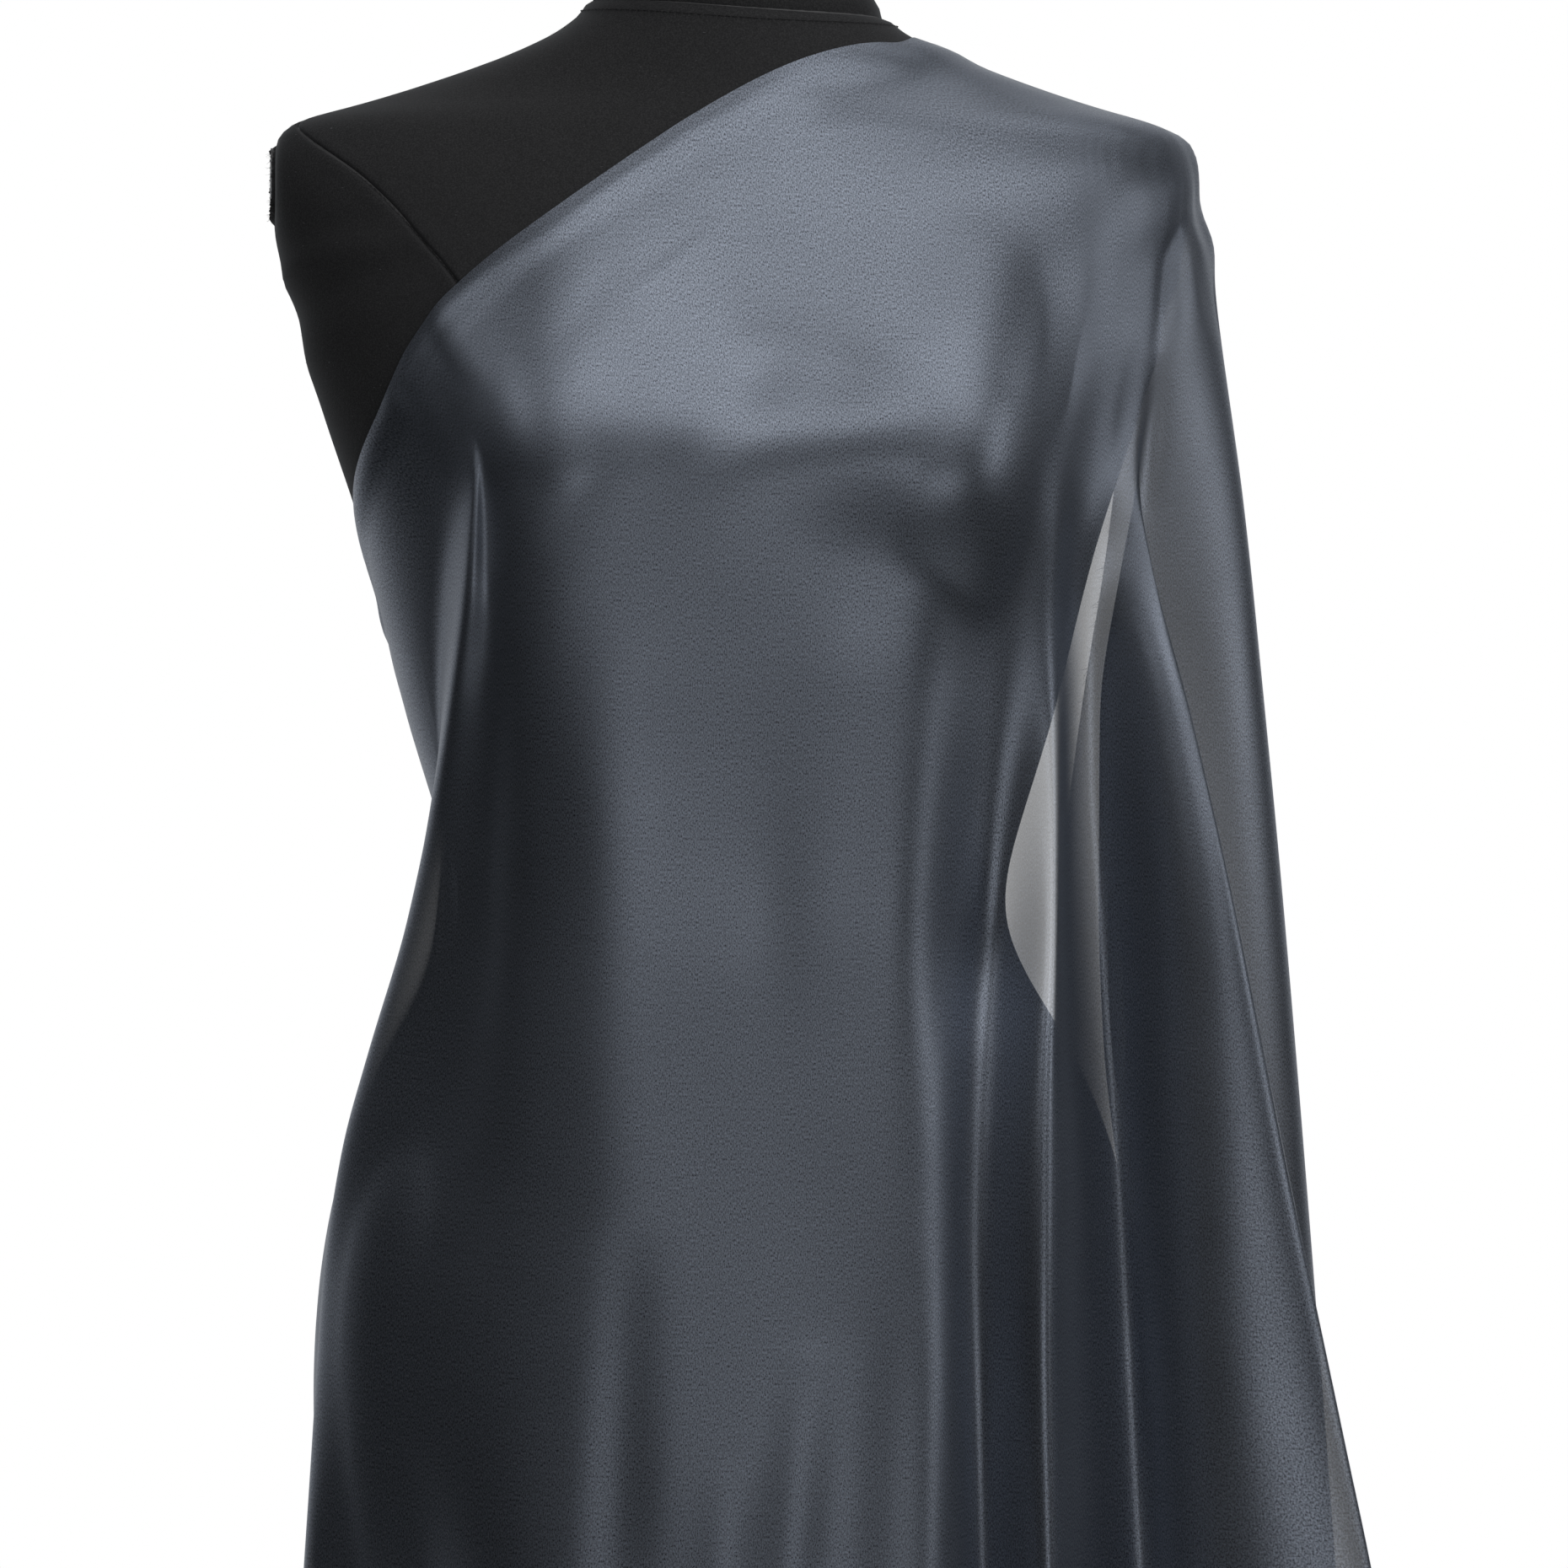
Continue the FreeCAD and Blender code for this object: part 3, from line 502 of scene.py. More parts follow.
@dataclass(frozen=True)
class MetalFinish:
    """Bare or plated metal with fine wear."""

    name: str
    colour: Colour
    roughness: float
    brushed: tuple[float, float, float] = (1, 1, 0.05)
    scratch_scale: float = 900
    smear_scale: float = 40

    def build(self) -> bpy.types.Material:
        """Make the material.

        Returns:
            The material.
        """
        n = Nodes(self.name)
        scratches = n.noise(n.place(self.brushed), self.scratch_scale, 3, 0.6)
        smears = n.noise(n.place(), self.smear_scale, 3)
        n.set(base_color=self.colour, metallic=1.0,
              roughness=n.ramp(smears, 0.3, 0.7, self.roughness, self.roughness + 0.1))
        n.relief(scratches, 0.03 * MM, 0.25)
        return n.material


@dataclass(frozen=True)
class MouldedFinish:
    """Moulded plastic or rubber with a spark-eroded grain."""

    name: str
    colour: Colour
    roughness: float
    grain: float = 0.08 * MM
    dirt_scale: float = 60
    grain_scale: float = 1800

    def build(self) -> bpy.types.Material:
        """Make the material.

        Returns:
            The material.
        """
        n = Nodes(self.name)
        where = n.place()
        dirt = n.noise(where, self.dirt_scale, 4)
        base = n.mix(n.ramp(dirt, 0.35, 0.7), self.colour,
                     tuple(min(1.0, c * 1.35 + 0.004) for c in self.colour[:3]) + (1,))
        n.set(base_color=base, roughness=self.roughness)
        n.relief(n.noise(where, self.grain_scale, 2, 0.6), self.grain, 0.4)
        return n.material


# ------------------------------------------------------------------ things that repeat


class Repeat:
    """A Geometry Nodes tree that sets copies of a small piece along lines or over a surface."""

    def __init__(self, name: str, over_surface: bool) -> None:
        """Start the tree with its named inputs.

        Args:
            name: The tree's name.
            over_surface: Whether copies are strewn over faces, not set along edges.
        """
        self.tree = bpy.data.node_groups.new(name, "GeometryNodeTree")
        self.inputs: dict[str, str] = {}
        self._socket("Geometry", "NodeSocketGeometry")
        for title in ("Pitch", "Tilt", "Smallest", "Largest", "Share"):
            self._socket(title, "NodeSocketFloat")
        self._socket("Seed", "NodeSocketInt")
        self._socket("Piece", "NodeSocketObject")
        self._socket("Finish", "NodeSocketMaterial")
        self.tree.interface.new_socket("Geometry", in_out="OUTPUT",
                                       socket_type="NodeSocketGeometry")
        self.given = self.tree.nodes.new("NodeGroupInput")
        self._join(self._strewn() if over_surface else self._in_line())

    def _socket(self, title: str, kind: str) -> None:
        """Add a named input to the tree."""
        made = self.tree.interface.new_socket(title, in_out="INPUT", socket_type=kind)
        self.inputs[title] = made.identifier

    def _node(self, kind: str, **links: object) -> bpy.types.Node:
        """Add a node; links name inputs in lower case with underscores, or are properties.

        Args:
            kind: The node's type.
            links: Values or sockets, by name.

        Returns:
            The node.
        """
        node = self.tree.nodes.new(kind)
        for key, value in links.items():
            socket = next((i for i in node.inputs if i.enabled
                           and i.name.lower().replace(" ", "_") == key), None)
            if socket is None:
                setattr(node, key, value)
            elif isinstance(value, bpy.types.NodeSocket):
                self.tree.links.new(value, socket)
            else:
                socket.default_value = value
        return node

    def _link(self, source: bpy.types.NodeSocket, socket: bpy.types.NodeSocket) -> None:
        """Link one node's output to another's input."""
        self.tree.links.new(source, socket)

    def _in_line(self) -> tuple[bpy.types.NodeSocket, bpy.types.NodeSocket]:
        """Evenly spaced points along edges, turned to the stored facing direction.

        Returns:
            The points and their rotations.
        """
        curve = self._node("GeometryNodeMeshToCurve", mesh=self.given.outputs["Geometry"])
        spaced = self._node("GeometryNodeResampleCurve", curve=curve.outputs[0])
        spaced.mode = "LENGTH"
        self._link(self.given.outputs["Pitch"], spaced.inputs["Length"])
        facing = self.tree.nodes.new("GeometryNodeInputNamedAttribute")
        facing.data_type = "FLOAT_VECTOR"
        facing.inputs["Name"].default_value = "facing"
        tangent = self.tree.nodes.new("GeometryNodeInputTangent")
        turned = self.tree.nodes.new("FunctionNodeAxesToRotation")
        turned.primary_axis = "Z"
        turned.secondary_axis = "X"
        self._link(facing.outputs["Attribute"], turned.inputs[0])
        self._link(tangent.outputs[0], turned.inputs[1])
        return spaced.outputs[0], turned.outputs[0]

    def _strewn(self) -> tuple[bpy.types.NodeSocket, bpy.types.NodeSocket]:
        """Random points over faces, turned to the surface; Pitch is their mean spacing.

        Returns:
            The points and their rotations.
        """
        square = self._node("ShaderNodeMath", operation="MULTIPLY")
        density = self._node("ShaderNodeMath", operation="DIVIDE")
        for socket in square.inputs[:2]:
            self._link(self.given.outputs["Pitch"], socket)
        density.inputs[0].default_value = 1.0
        self._link(square.outputs[0], density.inputs[1])
        strewn = self.tree.nodes.new("GeometryNodeDistributePointsOnFaces")
        self._link(self.given.outputs["Geometry"], strewn.inputs["Mesh"])
        self._link(density.outputs[0], strewn.inputs["Density"])
        self._link(self.given.outputs["Seed"], strewn.inputs["Seed"])
        return strewn.outputs["Points"], strewn.outputs["Rotation"]

    def _random(self, kind: str, low: object, high: object, shift: int) -> bpy.types.NodeSocket:
        """A random value for each copy, from its own stream.

        Args:
            kind: The value's type.
            low: The least value, or a truth value's chance.
            high: The greatest value.
            shift: Added to the seed, to part the streams.

        Returns:
            The value.
        """
        node = self.tree.nodes.new("FunctionNodeRandomValue")
        node.data_type = kind
        seed = self._node("ShaderNodeMath", operation="ADD")
        self._link(self.given.outputs["Seed"], seed.inputs[0])
        seed.inputs[1].default_value = shift
        self._link(seed.outputs[0], node.inputs["Seed"])
        sockets = [i for i in node.inputs if i.enabled]
        names = {"BOOLEAN": ["Probability"], "FLOAT": ["Min", "Max"],
                 "FLOAT_VECTOR": ["Min", "Max"]}[kind]
        for name, value in zip(names, (low, high)):
            socket = next(i for i in sockets if i.name == name)
            if isinstance(value, bpy.types.NodeSocket):
                self._link(value, socket)
            else:
                socket.default_value = value
        return next(o for o in node.outputs if o.enabled)

    def _join(self, placed: tuple[bpy.types.NodeSocket, bpy.types.NodeSocket]) -> None:
        """Set the copies on the points and end the tree.

        Args:
            placed: The points and their rotations.
        """
        points, rotation = placed
        spin = self._random("FLOAT_VECTOR", (-1, -1, -1), (1, 1, 1), 1)
        scaled = self._node("ShaderNodeVectorMath", operation="SCALE")
        self._link(spin, scaled.inputs[0])
        self._link(self.given.outputs["Tilt"], scaled.inputs["Scale"])
        tilt = self.tree.nodes.new("FunctionNodeEulerToRotation")
        self._link(scaled.outputs[0], tilt.inputs[0])
        turned = self.tree.nodes.new("FunctionNodeRotateRotation")
        turned.rotation_space = "LOCAL"
        self._link(rotation, turned.inputs[0])
        self._link(tilt.outputs[0], turned.inputs[1])
        piece = self.tree.nodes.new("GeometryNodeObjectInfo")
        self._link(self.given.outputs["Piece"], piece.inputs["Object"])
        copies = self.tree.nodes.new("GeometryNodeInstanceOnPoints")
        links = {
            "Points": points, "Rotation": turned.outputs[0],
            "Instance": piece.outputs["Geometry"],
            "Selection": self._random("BOOLEAN", self.given.outputs["Share"], None, 2),
            "Scale": self._random("FLOAT", self.given.outputs["Smallest"],
                                  self.given.outputs["Largest"], 3),
        }
        for name, socket in links.items():
            self._link(socket, copies.inputs[name])
        real = self.tree.nodes.new("GeometryNodeRealizeInstances")
        finish = self.tree.nodes.new("GeometryNodeSetMaterial")
        out = self.tree.nodes.new("NodeGroupOutput")
        self._link(copies.outputs[0], real.inputs[0])
        self._link(real.outputs[0], finish.inputs["Geometry"])
        self._link(self.given.outputs["Finish"], finish.inputs["Material"])
        self._link(finish.outputs[0], out.inputs[0])

    def copies(self, name: str, guide: bpy.types.Object, **values: object) -> bpy.types.Object:
        """Run the tree on a guide and keep the result as a plain mesh.

        Args:
            name: The new piece's name.
            guide: The edges or faces to set copies on; it is removed afterwards.
            values: The tree's inputs, by their titles in lower case; the piece among them is
                removed afterwards too.

        Returns:
            The new object.
        """
        modifier = guide.modifiers.new("repeat", "NODES")
        modifier.node_group = self.tree
        for title, value in values.items():
            modifier[self.inputs[title.capitalize()]] = value
        graph = bpy.context.evaluated_depsgraph_get()
        mesh = bpy.data.meshes.new_from_object(guide.evaluated_get(graph))
        mesh.name = name
        guide.modifiers.remove(modifier)
        bpy.data.objects.remove(guide)
        bpy.data.objects.remove(values["piece"])
        return plain_object(name, mesh)


def guide_lines(lines: list[Grid], facings: list[Grid]) -> bpy.types.Object:
    """Edges to set copies along, each point with the direction that its copies face.

    Args:
        lines: Points along each line.
        facings: A direction for each point of each line.

    Returns:
        The edges as an object.
    """
    mesh = bpy.data.meshes.new("guide")
    edges = []
    start = 0
    for line in lines:
        edges += [(start + i, start + i + 1) for i in range(len(line) - 1)]
        start += len(line)
    mesh.from_pydata(np.concatenate(lines).tolist(), edges, [])
    attribute = mesh.attributes.new("facing", "FLOAT_VECTOR", "POINT")
    attribute.data.foreach_set("vector", np.concatenate(facings).astype(np.float32).ravel())
    return plain_object("guide", mesh)


def fibre(length: float, radius: float, bend: float, sides: int = 3,
          steps: int = 5) -> bpy.types.Object:
    """A small bent thread that starts at the origin and runs along X, for copying.

    Args:
        length: From end to end along X, in metres.
        radius: Of the thread.
        bend: How far its far end curls up along Z, as a share of its length.
        sides: Sides of its section.
        steps: Segments along it.

    Returns:
        The thread.
    """
    points = []
    for i in range(steps + 1):
        share = i / steps
        thick = radius * (1 - 0.35 * share)
        for k in range(sides):
            turn = 2 * math.pi * k / sides
            points.append((length * share, thick * math.cos(turn),
                           bend * length * share ** 2 + thick * math.sin(turn)))
    faces = [(i * sides + k, i * sides + (k + 1) % sides, (i + 1) * sides + (k + 1) % sides,
              (i + 1) * sides + k) for i in range(steps) for k in range(sides)]
    faces += [tuple(range(sides))[::-1], tuple(steps * sides + k for k in range(sides))]
    mesh = bpy.data.meshes.new("fibre")
    mesh.from_pydata(points, [], faces)
    made = bmesh.new()
    made.from_mesh(mesh)
    bmesh.ops.recalc_face_normals(made, faces=made.faces)
    made.to_mesh(mesh)
    made.free()
    return plain_object("fibre", mesh)


def bent_stitch(length: float, radius: float) -> bpy.types.Object:
    """One stitch as it shows on top: a thread that rises out of the cloth and dives again.

    Args:
        length: From end to end, in metres.
        radius: Of the thread.

    Returns:
        The stitch, centred on the origin along X.
    """
    made = fibre(length, radius, 0.0, sides=4, steps=6)
    for vertex in made.data.vertices:
        share = vertex.co.x / length
        vertex.co.x -= length / 2
        vertex.co.z += radius * (1.6 * math.sin(math.pi * share) - 0.8)
    return made


# ------------------------------------------------------------------ the torso's surface


@dataclass
class TorsoSurface:
    """The cover's outer face over the CAD torso, as a grid whose columns follow the seams."""

    rows: int = 236
    turn_samples: int = 720
    standoff: float = 1.4 * MM
    waist_rise: float = 0.335
    outline_samples: int = 1200
    smooth_round: float = 1.6
    smooth_down: float = 1.3
    smooth_seams: float = 2.5
    least_radius: float = 20 * MM
    least_turn: float = 0.012
    seams_end: float = 8 * MM
    tilt_below: float = 22 * MM
    tilt_band: float = 2 * MM
    hug_from: float = 0.3
    hug_fade: float = 0.04
    hug_reach: float = 0.03
    hug_fall: float = 0.009
    hug_share: float = 0.85
    clear_reach: float = 0.05
    neck_seam_tilt: tuple[float, float] = (-3.4 * MM, 5.2 * MM)
    neck_seam_rise: float = 403.5 * MM
    panels: dict[str, int] = field(default_factory=lambda: {
        "cover_front": 108, "cover_side_left": 58, "cover_back_left": 54,
        "cover_back_right": 54, "cover_side_right": 58})

    def __post_init__(self) -> None:
        """Measure the torso and lay the grid on it."""
        self.skin, _ = node_tree("torso_shell")
        self.seamed, self.owners = node_tree(*self.panels)
        low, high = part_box("torso_shell")
        self.base, self.top = low.z, high.z
        self.waist = self.base + self.waist_rise
        self.reach = 2 * max(high.x, high.y)
        self.turns = np.linspace(-math.pi, math.pi, self.turn_samples, endpoint=False)
        self.levels = self._even_levels()
        self.tilt = self._tilt()
        self.points = self._lay_grid()
        self.tree = tree_of(self._over_plates(), closed=True)

    def _hit(self, tree: BVHTree, turn: float, height: float) -> tuple[float, int]:
        """Distance from the axis to a surface, looking in from outside, and the face it meets.

        Args:
            tree: The surface.
            turn: Angle round the axis.
            height: Height of the ray.

        Returns:
            The distance and the face's number, or 0 and -1 where the ray meets nothing.
        """
        out = Vector((math.cos(turn), math.sin(turn), 0))
        start = out * self.reach + Vector((0, 0, height))
        place, _, face, gone = tree.ray_cast(start, -out, self.reach)
        if place is None:
            return 0.0, -1
        return self.reach - gone, face

    def _even_levels(self) -> np.ndarray:
        """Heights from the base to the neck, evenly spaced along the side's outline.

        Returns:
            The heights, from the lowest up.
        """
        heights = np.linspace(self.base + 0.1 * MM, self.top - 0.1 * MM, self.outline_samples)
        side = np.array([self._hit(self.skin, 0.02, z)[0] for z in heights])
        path = np.concatenate([[0], np.cumsum(np.hypot(np.diff(side), np.diff(heights)))])
        return np.interp(np.linspace(0, path[-1], self.rows), path, heights)

    def _tilt(self) -> np.ndarray:
        """How much each level leans with the neck seam: none below the shoulder and at the top.

        Returns:
            A share from 0 to 1 for each level.
        """
        seam = self.waist + self.neck_seam_rise
        self.neck_row = self.rows - 1 - int(np.argmin(abs(self.levels - seam)))
        return np.interp(self.levels, [seam - self.tilt_below, seam - self.tilt_band,
                                       seam + self.tilt_band, self.top], [0, 1, 1, 0])

    def _lay_grid(self) -> Grid:
        """Cast rays for every level and place the panels' columns between the seams.

        Returns:
            Rows from top to bottom, columns anticlockwise from above.
        """
        radii = np.empty((self.rows, self.turn_samples))
        seams = np.empty((self.rows, len(self.panels)))
        heights = np.empty_like(radii)
        for row, level in enumerate(self.levels):
            lean_x, lean_y = self.neck_seam_tilt
            heights[row] = level + self.tilt[row] * (lean_x * np.cos(self.turns)
                                                     + lean_y * np.sin(self.turns))
            radii[row] = [self._hit(self.skin, t, z)[0] for t, z in zip(self.turns, heights[row])]
            seams[row] = self._seam_turns(
                min(level, self.waist + self.neck_seam_rise - self.seams_end))
        radii = blur(blur(radii, self.smooth_round, 1, True), self.smooth_down, 0, False)
        seams = blur(seams, self.smooth_seams, 0, False)
        turns = np.concatenate([self._panel_turns(seams, k) for k in range(len(self.panels))],
                               axis=1)
        wrapped = (turns + math.pi) % (2 * math.pi) - math.pi
        found = np.empty(turns.shape)
        lift = np.empty(turns.shape)
        for row in range(self.rows):
            found[row] = np.interp(wrapped[row], self.turns, radii[row], period=2 * math.pi)
            lift[row] = np.interp(wrapped[row], self.turns, heights[row], period=2 * math.pi)
        points = np.stack([found * np.cos(turns), found * np.sin(turns), lift], axis=-1)[::-1]
        self.turn_grid = turns[::-1]
        return points + grid_normals(points, closed=True) * self.standoff

    def _seam_turns(self, level: float) -> np.ndarray:
        """Angles at which the panels begin, anticlockwise from the front's right seam.

        Args:
            level: The height.

        Returns:
            An angle for each panel.
        """
        hits = [self._hit(self.seamed, t, level) for t in self.turns]
        half = self.turn_samples // 2
        owner = [self.owners[face] if face >= 0 and far > self.least_radius else ""
                 for far, face in hits]
        front = [i for i, name in enumerate(owner) if name == "cover_front" and i <= half]
        back_left, back_right = (
            [i for i, name in enumerate(owner) if name == wanted and i >= half]
            for wanted in ("cover_back_left", "cover_back_right"))
        step = 2 * math.pi / self.turn_samples
        starts = {
            "cover_front": self.turns[front[0]] - step / 2,
            "cover_side_left": self.turns[front[-1]] + step / 2,
            "cover_back_left": self.turns[back_left[0]] - step / 2,
            "cover_back_right": math.pi / 2,
            "cover_side_right": self.turns[back_right[-1]] + step / 2,
        }
        starts["cover_back_left"] = max(starts["cover_back_left"],
                                        starts["cover_side_left"] + self.least_turn)
        starts["cover_side_right"] = min(starts["cover_side_right"],
                                         starts["cover_front"] + 2 * math.pi - self.least_turn)
        return np.array([starts[name] for name in self.panels])

    def _panel_turns(self, seams: np.ndarray, panel: int) -> np.ndarray:
        """Angles of a panel's columns at every level, closer together beside its seams.

        Args:
            seams: Angles at which the panels begin, for every level.
            panel: The panel's number.

        Returns:
            Angles by level and column.
        """
        count = list(self.panels.values())[panel]
        start = seams[:, panel]
        end = seams[:, panel + 1] if panel + 1 < seams.shape[1] else seams[:, 0] + 2 * math.pi
        even = np.arange(count) / count
        eased = even - 0.8 * np.sin(2 * math.pi * even) / (2 * math.pi)
        return start[:, None] + (end - start)[:, None] * eased[None, :]

    def panel_columns(self, name: str) -> np.ndarray:
        """Column numbers of a panel, both its seams included."""
        start = self.panel_starts()[list(self.panels).index(name)]
        return np.arange(start, start + self.panels[name] + 1) % self.points.shape[1]

    def panel_starts(self) -> np.ndarray:
        """Column numbers at which the panels begin."""
        return np.cumsum([0, *self.panels.values()])[:-1]

    def _over_plates(self) -> Grid:
        """The cover's face with room over the plates on the arm ends, for what lies on it.

        Returns:
            The raised grid.
        """
        points = self.points
        lift, radius, fade = 5 * MM, 21 * MM, 2.5 * MM
        room = np.zeros(points.shape[:2])
        for side in Side:
            low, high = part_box("arm_plate_" + side.word)
            away = np.linalg.norm(points - np.array((low + high) / 2), axis=-1)
            room += lift / (1 + np.exp((away - radius) / fade))
        return points + grid_normals(points, closed=True) * room[..., None]

    def heights(self, points: Grid, reach: float) -> tuple[Grid, Grid]:
        """Height of points over the cover, and its outward direction there.

        Args:
            points: Any array of points, in metres.
            reach: How far to look; points further off get that height.

        Returns:
            The heights and the directions.
        """
        flat = points.reshape(-1, 3)
        height = np.full(len(flat), reach)
        outward = np.zeros((len(flat), 3))
        for i, point in enumerate(flat.tolist()):
            place, normal, _, _ = self.tree.find_nearest(point, reach)
            if place is not None:
                height[i] = (Vector(point) - place).dot(normal)
                outward[i] = normal
        return height.reshape(points.shape[:-1]), outward.reshape(points.shape)

    def clear(self, points: Grid, gap: float) -> Grid:
        """Move points out of the cover, to a gap from it."""
        height, outward = self.heights(points, self.clear_reach)
        return points + outward * np.maximum(gap - height, 0)[..., None]

    def hug(self, points: Grid, gap: float) -> Grid:
        """Draw points that are a little off the chest and shoulders in to a gap from them.

        Args:
            points: Any array of points, in metres.
            gap: How far off they end up.

        Returns:
            The points after the move.
        """
        height, outward = self.heights(points, self.hug_reach)
        free = np.maximum(height - gap, 0)
        high = np.clip((points[..., 2] - self.waist - self.hug_from) / self.hug_fade, 0, 1)
        draw = self.hug_share * free * bump(free, self.hug_fall) * high
        return points - outward * draw[..., None]


# ------------------------------------------------------------------ the cover


# How the cover turns in over the neck's rim, from the outside in, and under the board: steps
# outwards from the edge and upwards from the torso's top or base, in millimetres.
NECK_TURN = ((-0.3, 0.7), (-1.4, 1.3), (-4.0, 1.45), (-9.0, 1.4))
HEM_TURN = ((-0.1, -0.6), (-0.8, -1.3), (-2.2, -1.5), (-9, -1.5), (-16, -1.45), (-16.5, -1.0))

# A raw edge round an arm plate, from the cover outwards and back: radius, rise beyond the arm
# end and looseness, in millimetres.
RAW_EDGE = ((18.6, -0.6, 0.05), (17.9, 0.8, 0.2), (16.8, 2.0, 0.5), (15.4, 3.1, 0.9),
            (14.7, 2.8, 0.5), (15.0, 0.9, 0.2))

# Drag lines at an arm: height above the waist, slope, width and depth, in millimetres.
ARM_WRINKLES = ((286, 0.55, 6, 1.9), (272, 0.75, 8, -1.0), (300, 0.35, 7, -0.6),
                (252, 0.9, 10, 1.2))


@dataclass
class Cover:
    """The sewn jersey cover, panel by panel, with its seams, stitches and raw arm edges."""

    torso: TorsoSurface
    material: bpy.types.Material
    thread: bpy.types.Material
    lint: bpy.types.Material
    in_line: Repeat
    strewn: Repeat
    stitch_length: float = 2.4 * MM
    stitch_pitch: float = 3.1 * MM
    stitch_radius: float = 0.22 * MM
    stitch_rise: float = 0.35 * MM
    ragged_points: int = 160
    arm_drop: float = 3 * MM
    seam_depth: float = 1.7 * MM
    seam_reach: float = 0.9 * MM
    puff: float = 0.3 * MM
    puff_reach: float = 4.5 * MM
    puff_away: float = 4 * MM
    neck_puff_away: float = 3 * MM
    neck_slope: float = 1.05

    def build(self) -> list[bpy.types.Object]:
        """Make the panels, the neck band, the hem, the raw edges and the threads.

        Returns:
            The pieces.
        """
        self.points = self._sewn()
        pieces = [self._panel(name) for name in self.torso.panels]
        pieces.append(self._neck_band())
        pieces.append(self._hem())
        pieces += [self._raw_edge(side) for side in Side]
        pieces += self._threads()
        return pieces

    def _sewn(self) -> Grid:
        """The torso's grid with seams pulled in and soft wrinkles at the arms.

        Returns:
            The grid of the cover's face.
        """
        torso = self.torso
        points = torso.points
        normals = grid_normals(points, closed=True)
        turns = torso.turn_grid
        radius = np.linalg.norm(points[..., :2], axis=-1)
        sink = np.zeros(radius.shape)
        for start in torso.panel_starts():
            apart = (turns - turns[:, start:start + 1] + math.pi) % (2 * math.pi) - math.pi
            length = np.abs(apart) * radius
            sink -= self.seam_depth * bump(length, self.seam_reach)
            sink += self.puff * bump(length - self.puff_away, self.puff_reach)
        level = torso.levels[::-1]
        along = np.abs(level - level[torso.neck_row])[:, None] * self.neck_slope
        sink -= self.seam_depth * bump(along, self.seam_reach)
        sink += self.puff * bump(along - self.neck_puff_away, self.puff_reach)
        sink += self._arm_wrinkles(points)
        return points + normals * sink[..., None]

    def _arm_wrinkles(self, points: Grid) -> Grid:
        """Shallow drag lines where the side panels turn over the arm ends.

        Args:
            points: The torso's grid.

        Returns:
            How far each point rises.
        """
        rise = (points[..., 2] - self.torso.waist) / MM
        out = np.abs(points[..., 0]) / MM
        fore = -points[..., 1] / MM
        middle, reach, lowest, highest = 186, 34, 150, 345
        window = bump(out - middle, reach) * (rise < highest) * (rise > lowest)
        fade = 1 / (1 + np.exp(-(fore + 12) / 9))
        total = np.zeros(rise.shape)
        for height, slope, width, deep in ARM_WRINKLES:
            total += deep * MM * bump(rise - height - slope * (fore - 20) * 0.35, width) * fade
        return total * window

    def _panel(self, name: str) -> bpy.types.Object:
        """One panel as its own piece, from the neck seam to the hem.

        Args:
            name: The panel's node.

        Returns:
            The piece.
        """
        columns = self.torso.panel_columns(name)
        piece = grid_object(name + "_knit", self.points[self.torso.neck_row:, columns])
        finish_with(piece, self.material)
        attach(piece, "torso")
        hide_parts(name)
        return piece

    def _plate_turns(self) -> Grid:
        """Angles of a raw edge's points round its arm plate."""
        return np.linspace(0, 2 * math.pi, self.ragged_points, endpoint=False)

    def _ring(self, side: Side, radius: Grid | float, rise: Grid | float) -> Grid:
        """Points round an arm plate, at a radius from its axis and a rise beyond the arm end.

        Args:
            side: Which arm.
            radius: In metres, one for all points or one each.
            rise: In metres, one for all points or one each.

        Returns:
            The ring's points.
        """
        low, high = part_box("arm_plate_" + side.word)
        middle = (low + high) / 2
        inner = high.x if side is Side.RIGHT else low.x
        turn = self._plate_turns()
        return np.stack([np.full(turn.shape, inner) + side.value * rise,
                         middle.y - side.value * radius * np.sin(turn),
                         middle.z - self.arm_drop + radius * np.cos(turn)], axis=-1)

    def _raw_edge(self, side: Side) -> bpy.types.Object:
        """The cover's raw edge, gathered round the arm plate and left ragged.

        Args:
            side: Which arm.

        Returns:
            The piece.
        """
        draws = np.random.default_rng(11 + side.value)
        turn = self._plate_turns()
        wave = sum(draws.uniform(0.3, 1) * np.sin(k * turn + draws.uniform(0, 6.3)) / k ** 0.5
                   for k in (3, 5, 8, 13, 21, 34))
        rag = draws.normal(0, 0.35, self.ragged_points)
        proud = 1.0 if side is Side.RIGHT else 0.35
        rows = [self._ring(side, (radius + 0.5 * loose * wave) * MM,
                           proud * (rise + loose * (0.5 * wave + rag)) * MM)
                for radius, rise, loose in RAW_EDGE]
        piece = grid_object(f"raw_edge_{side.word}", np.array(rows), closed=True)
        finish_with(piece, self.material)
        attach(piece, "torso")
        return piece

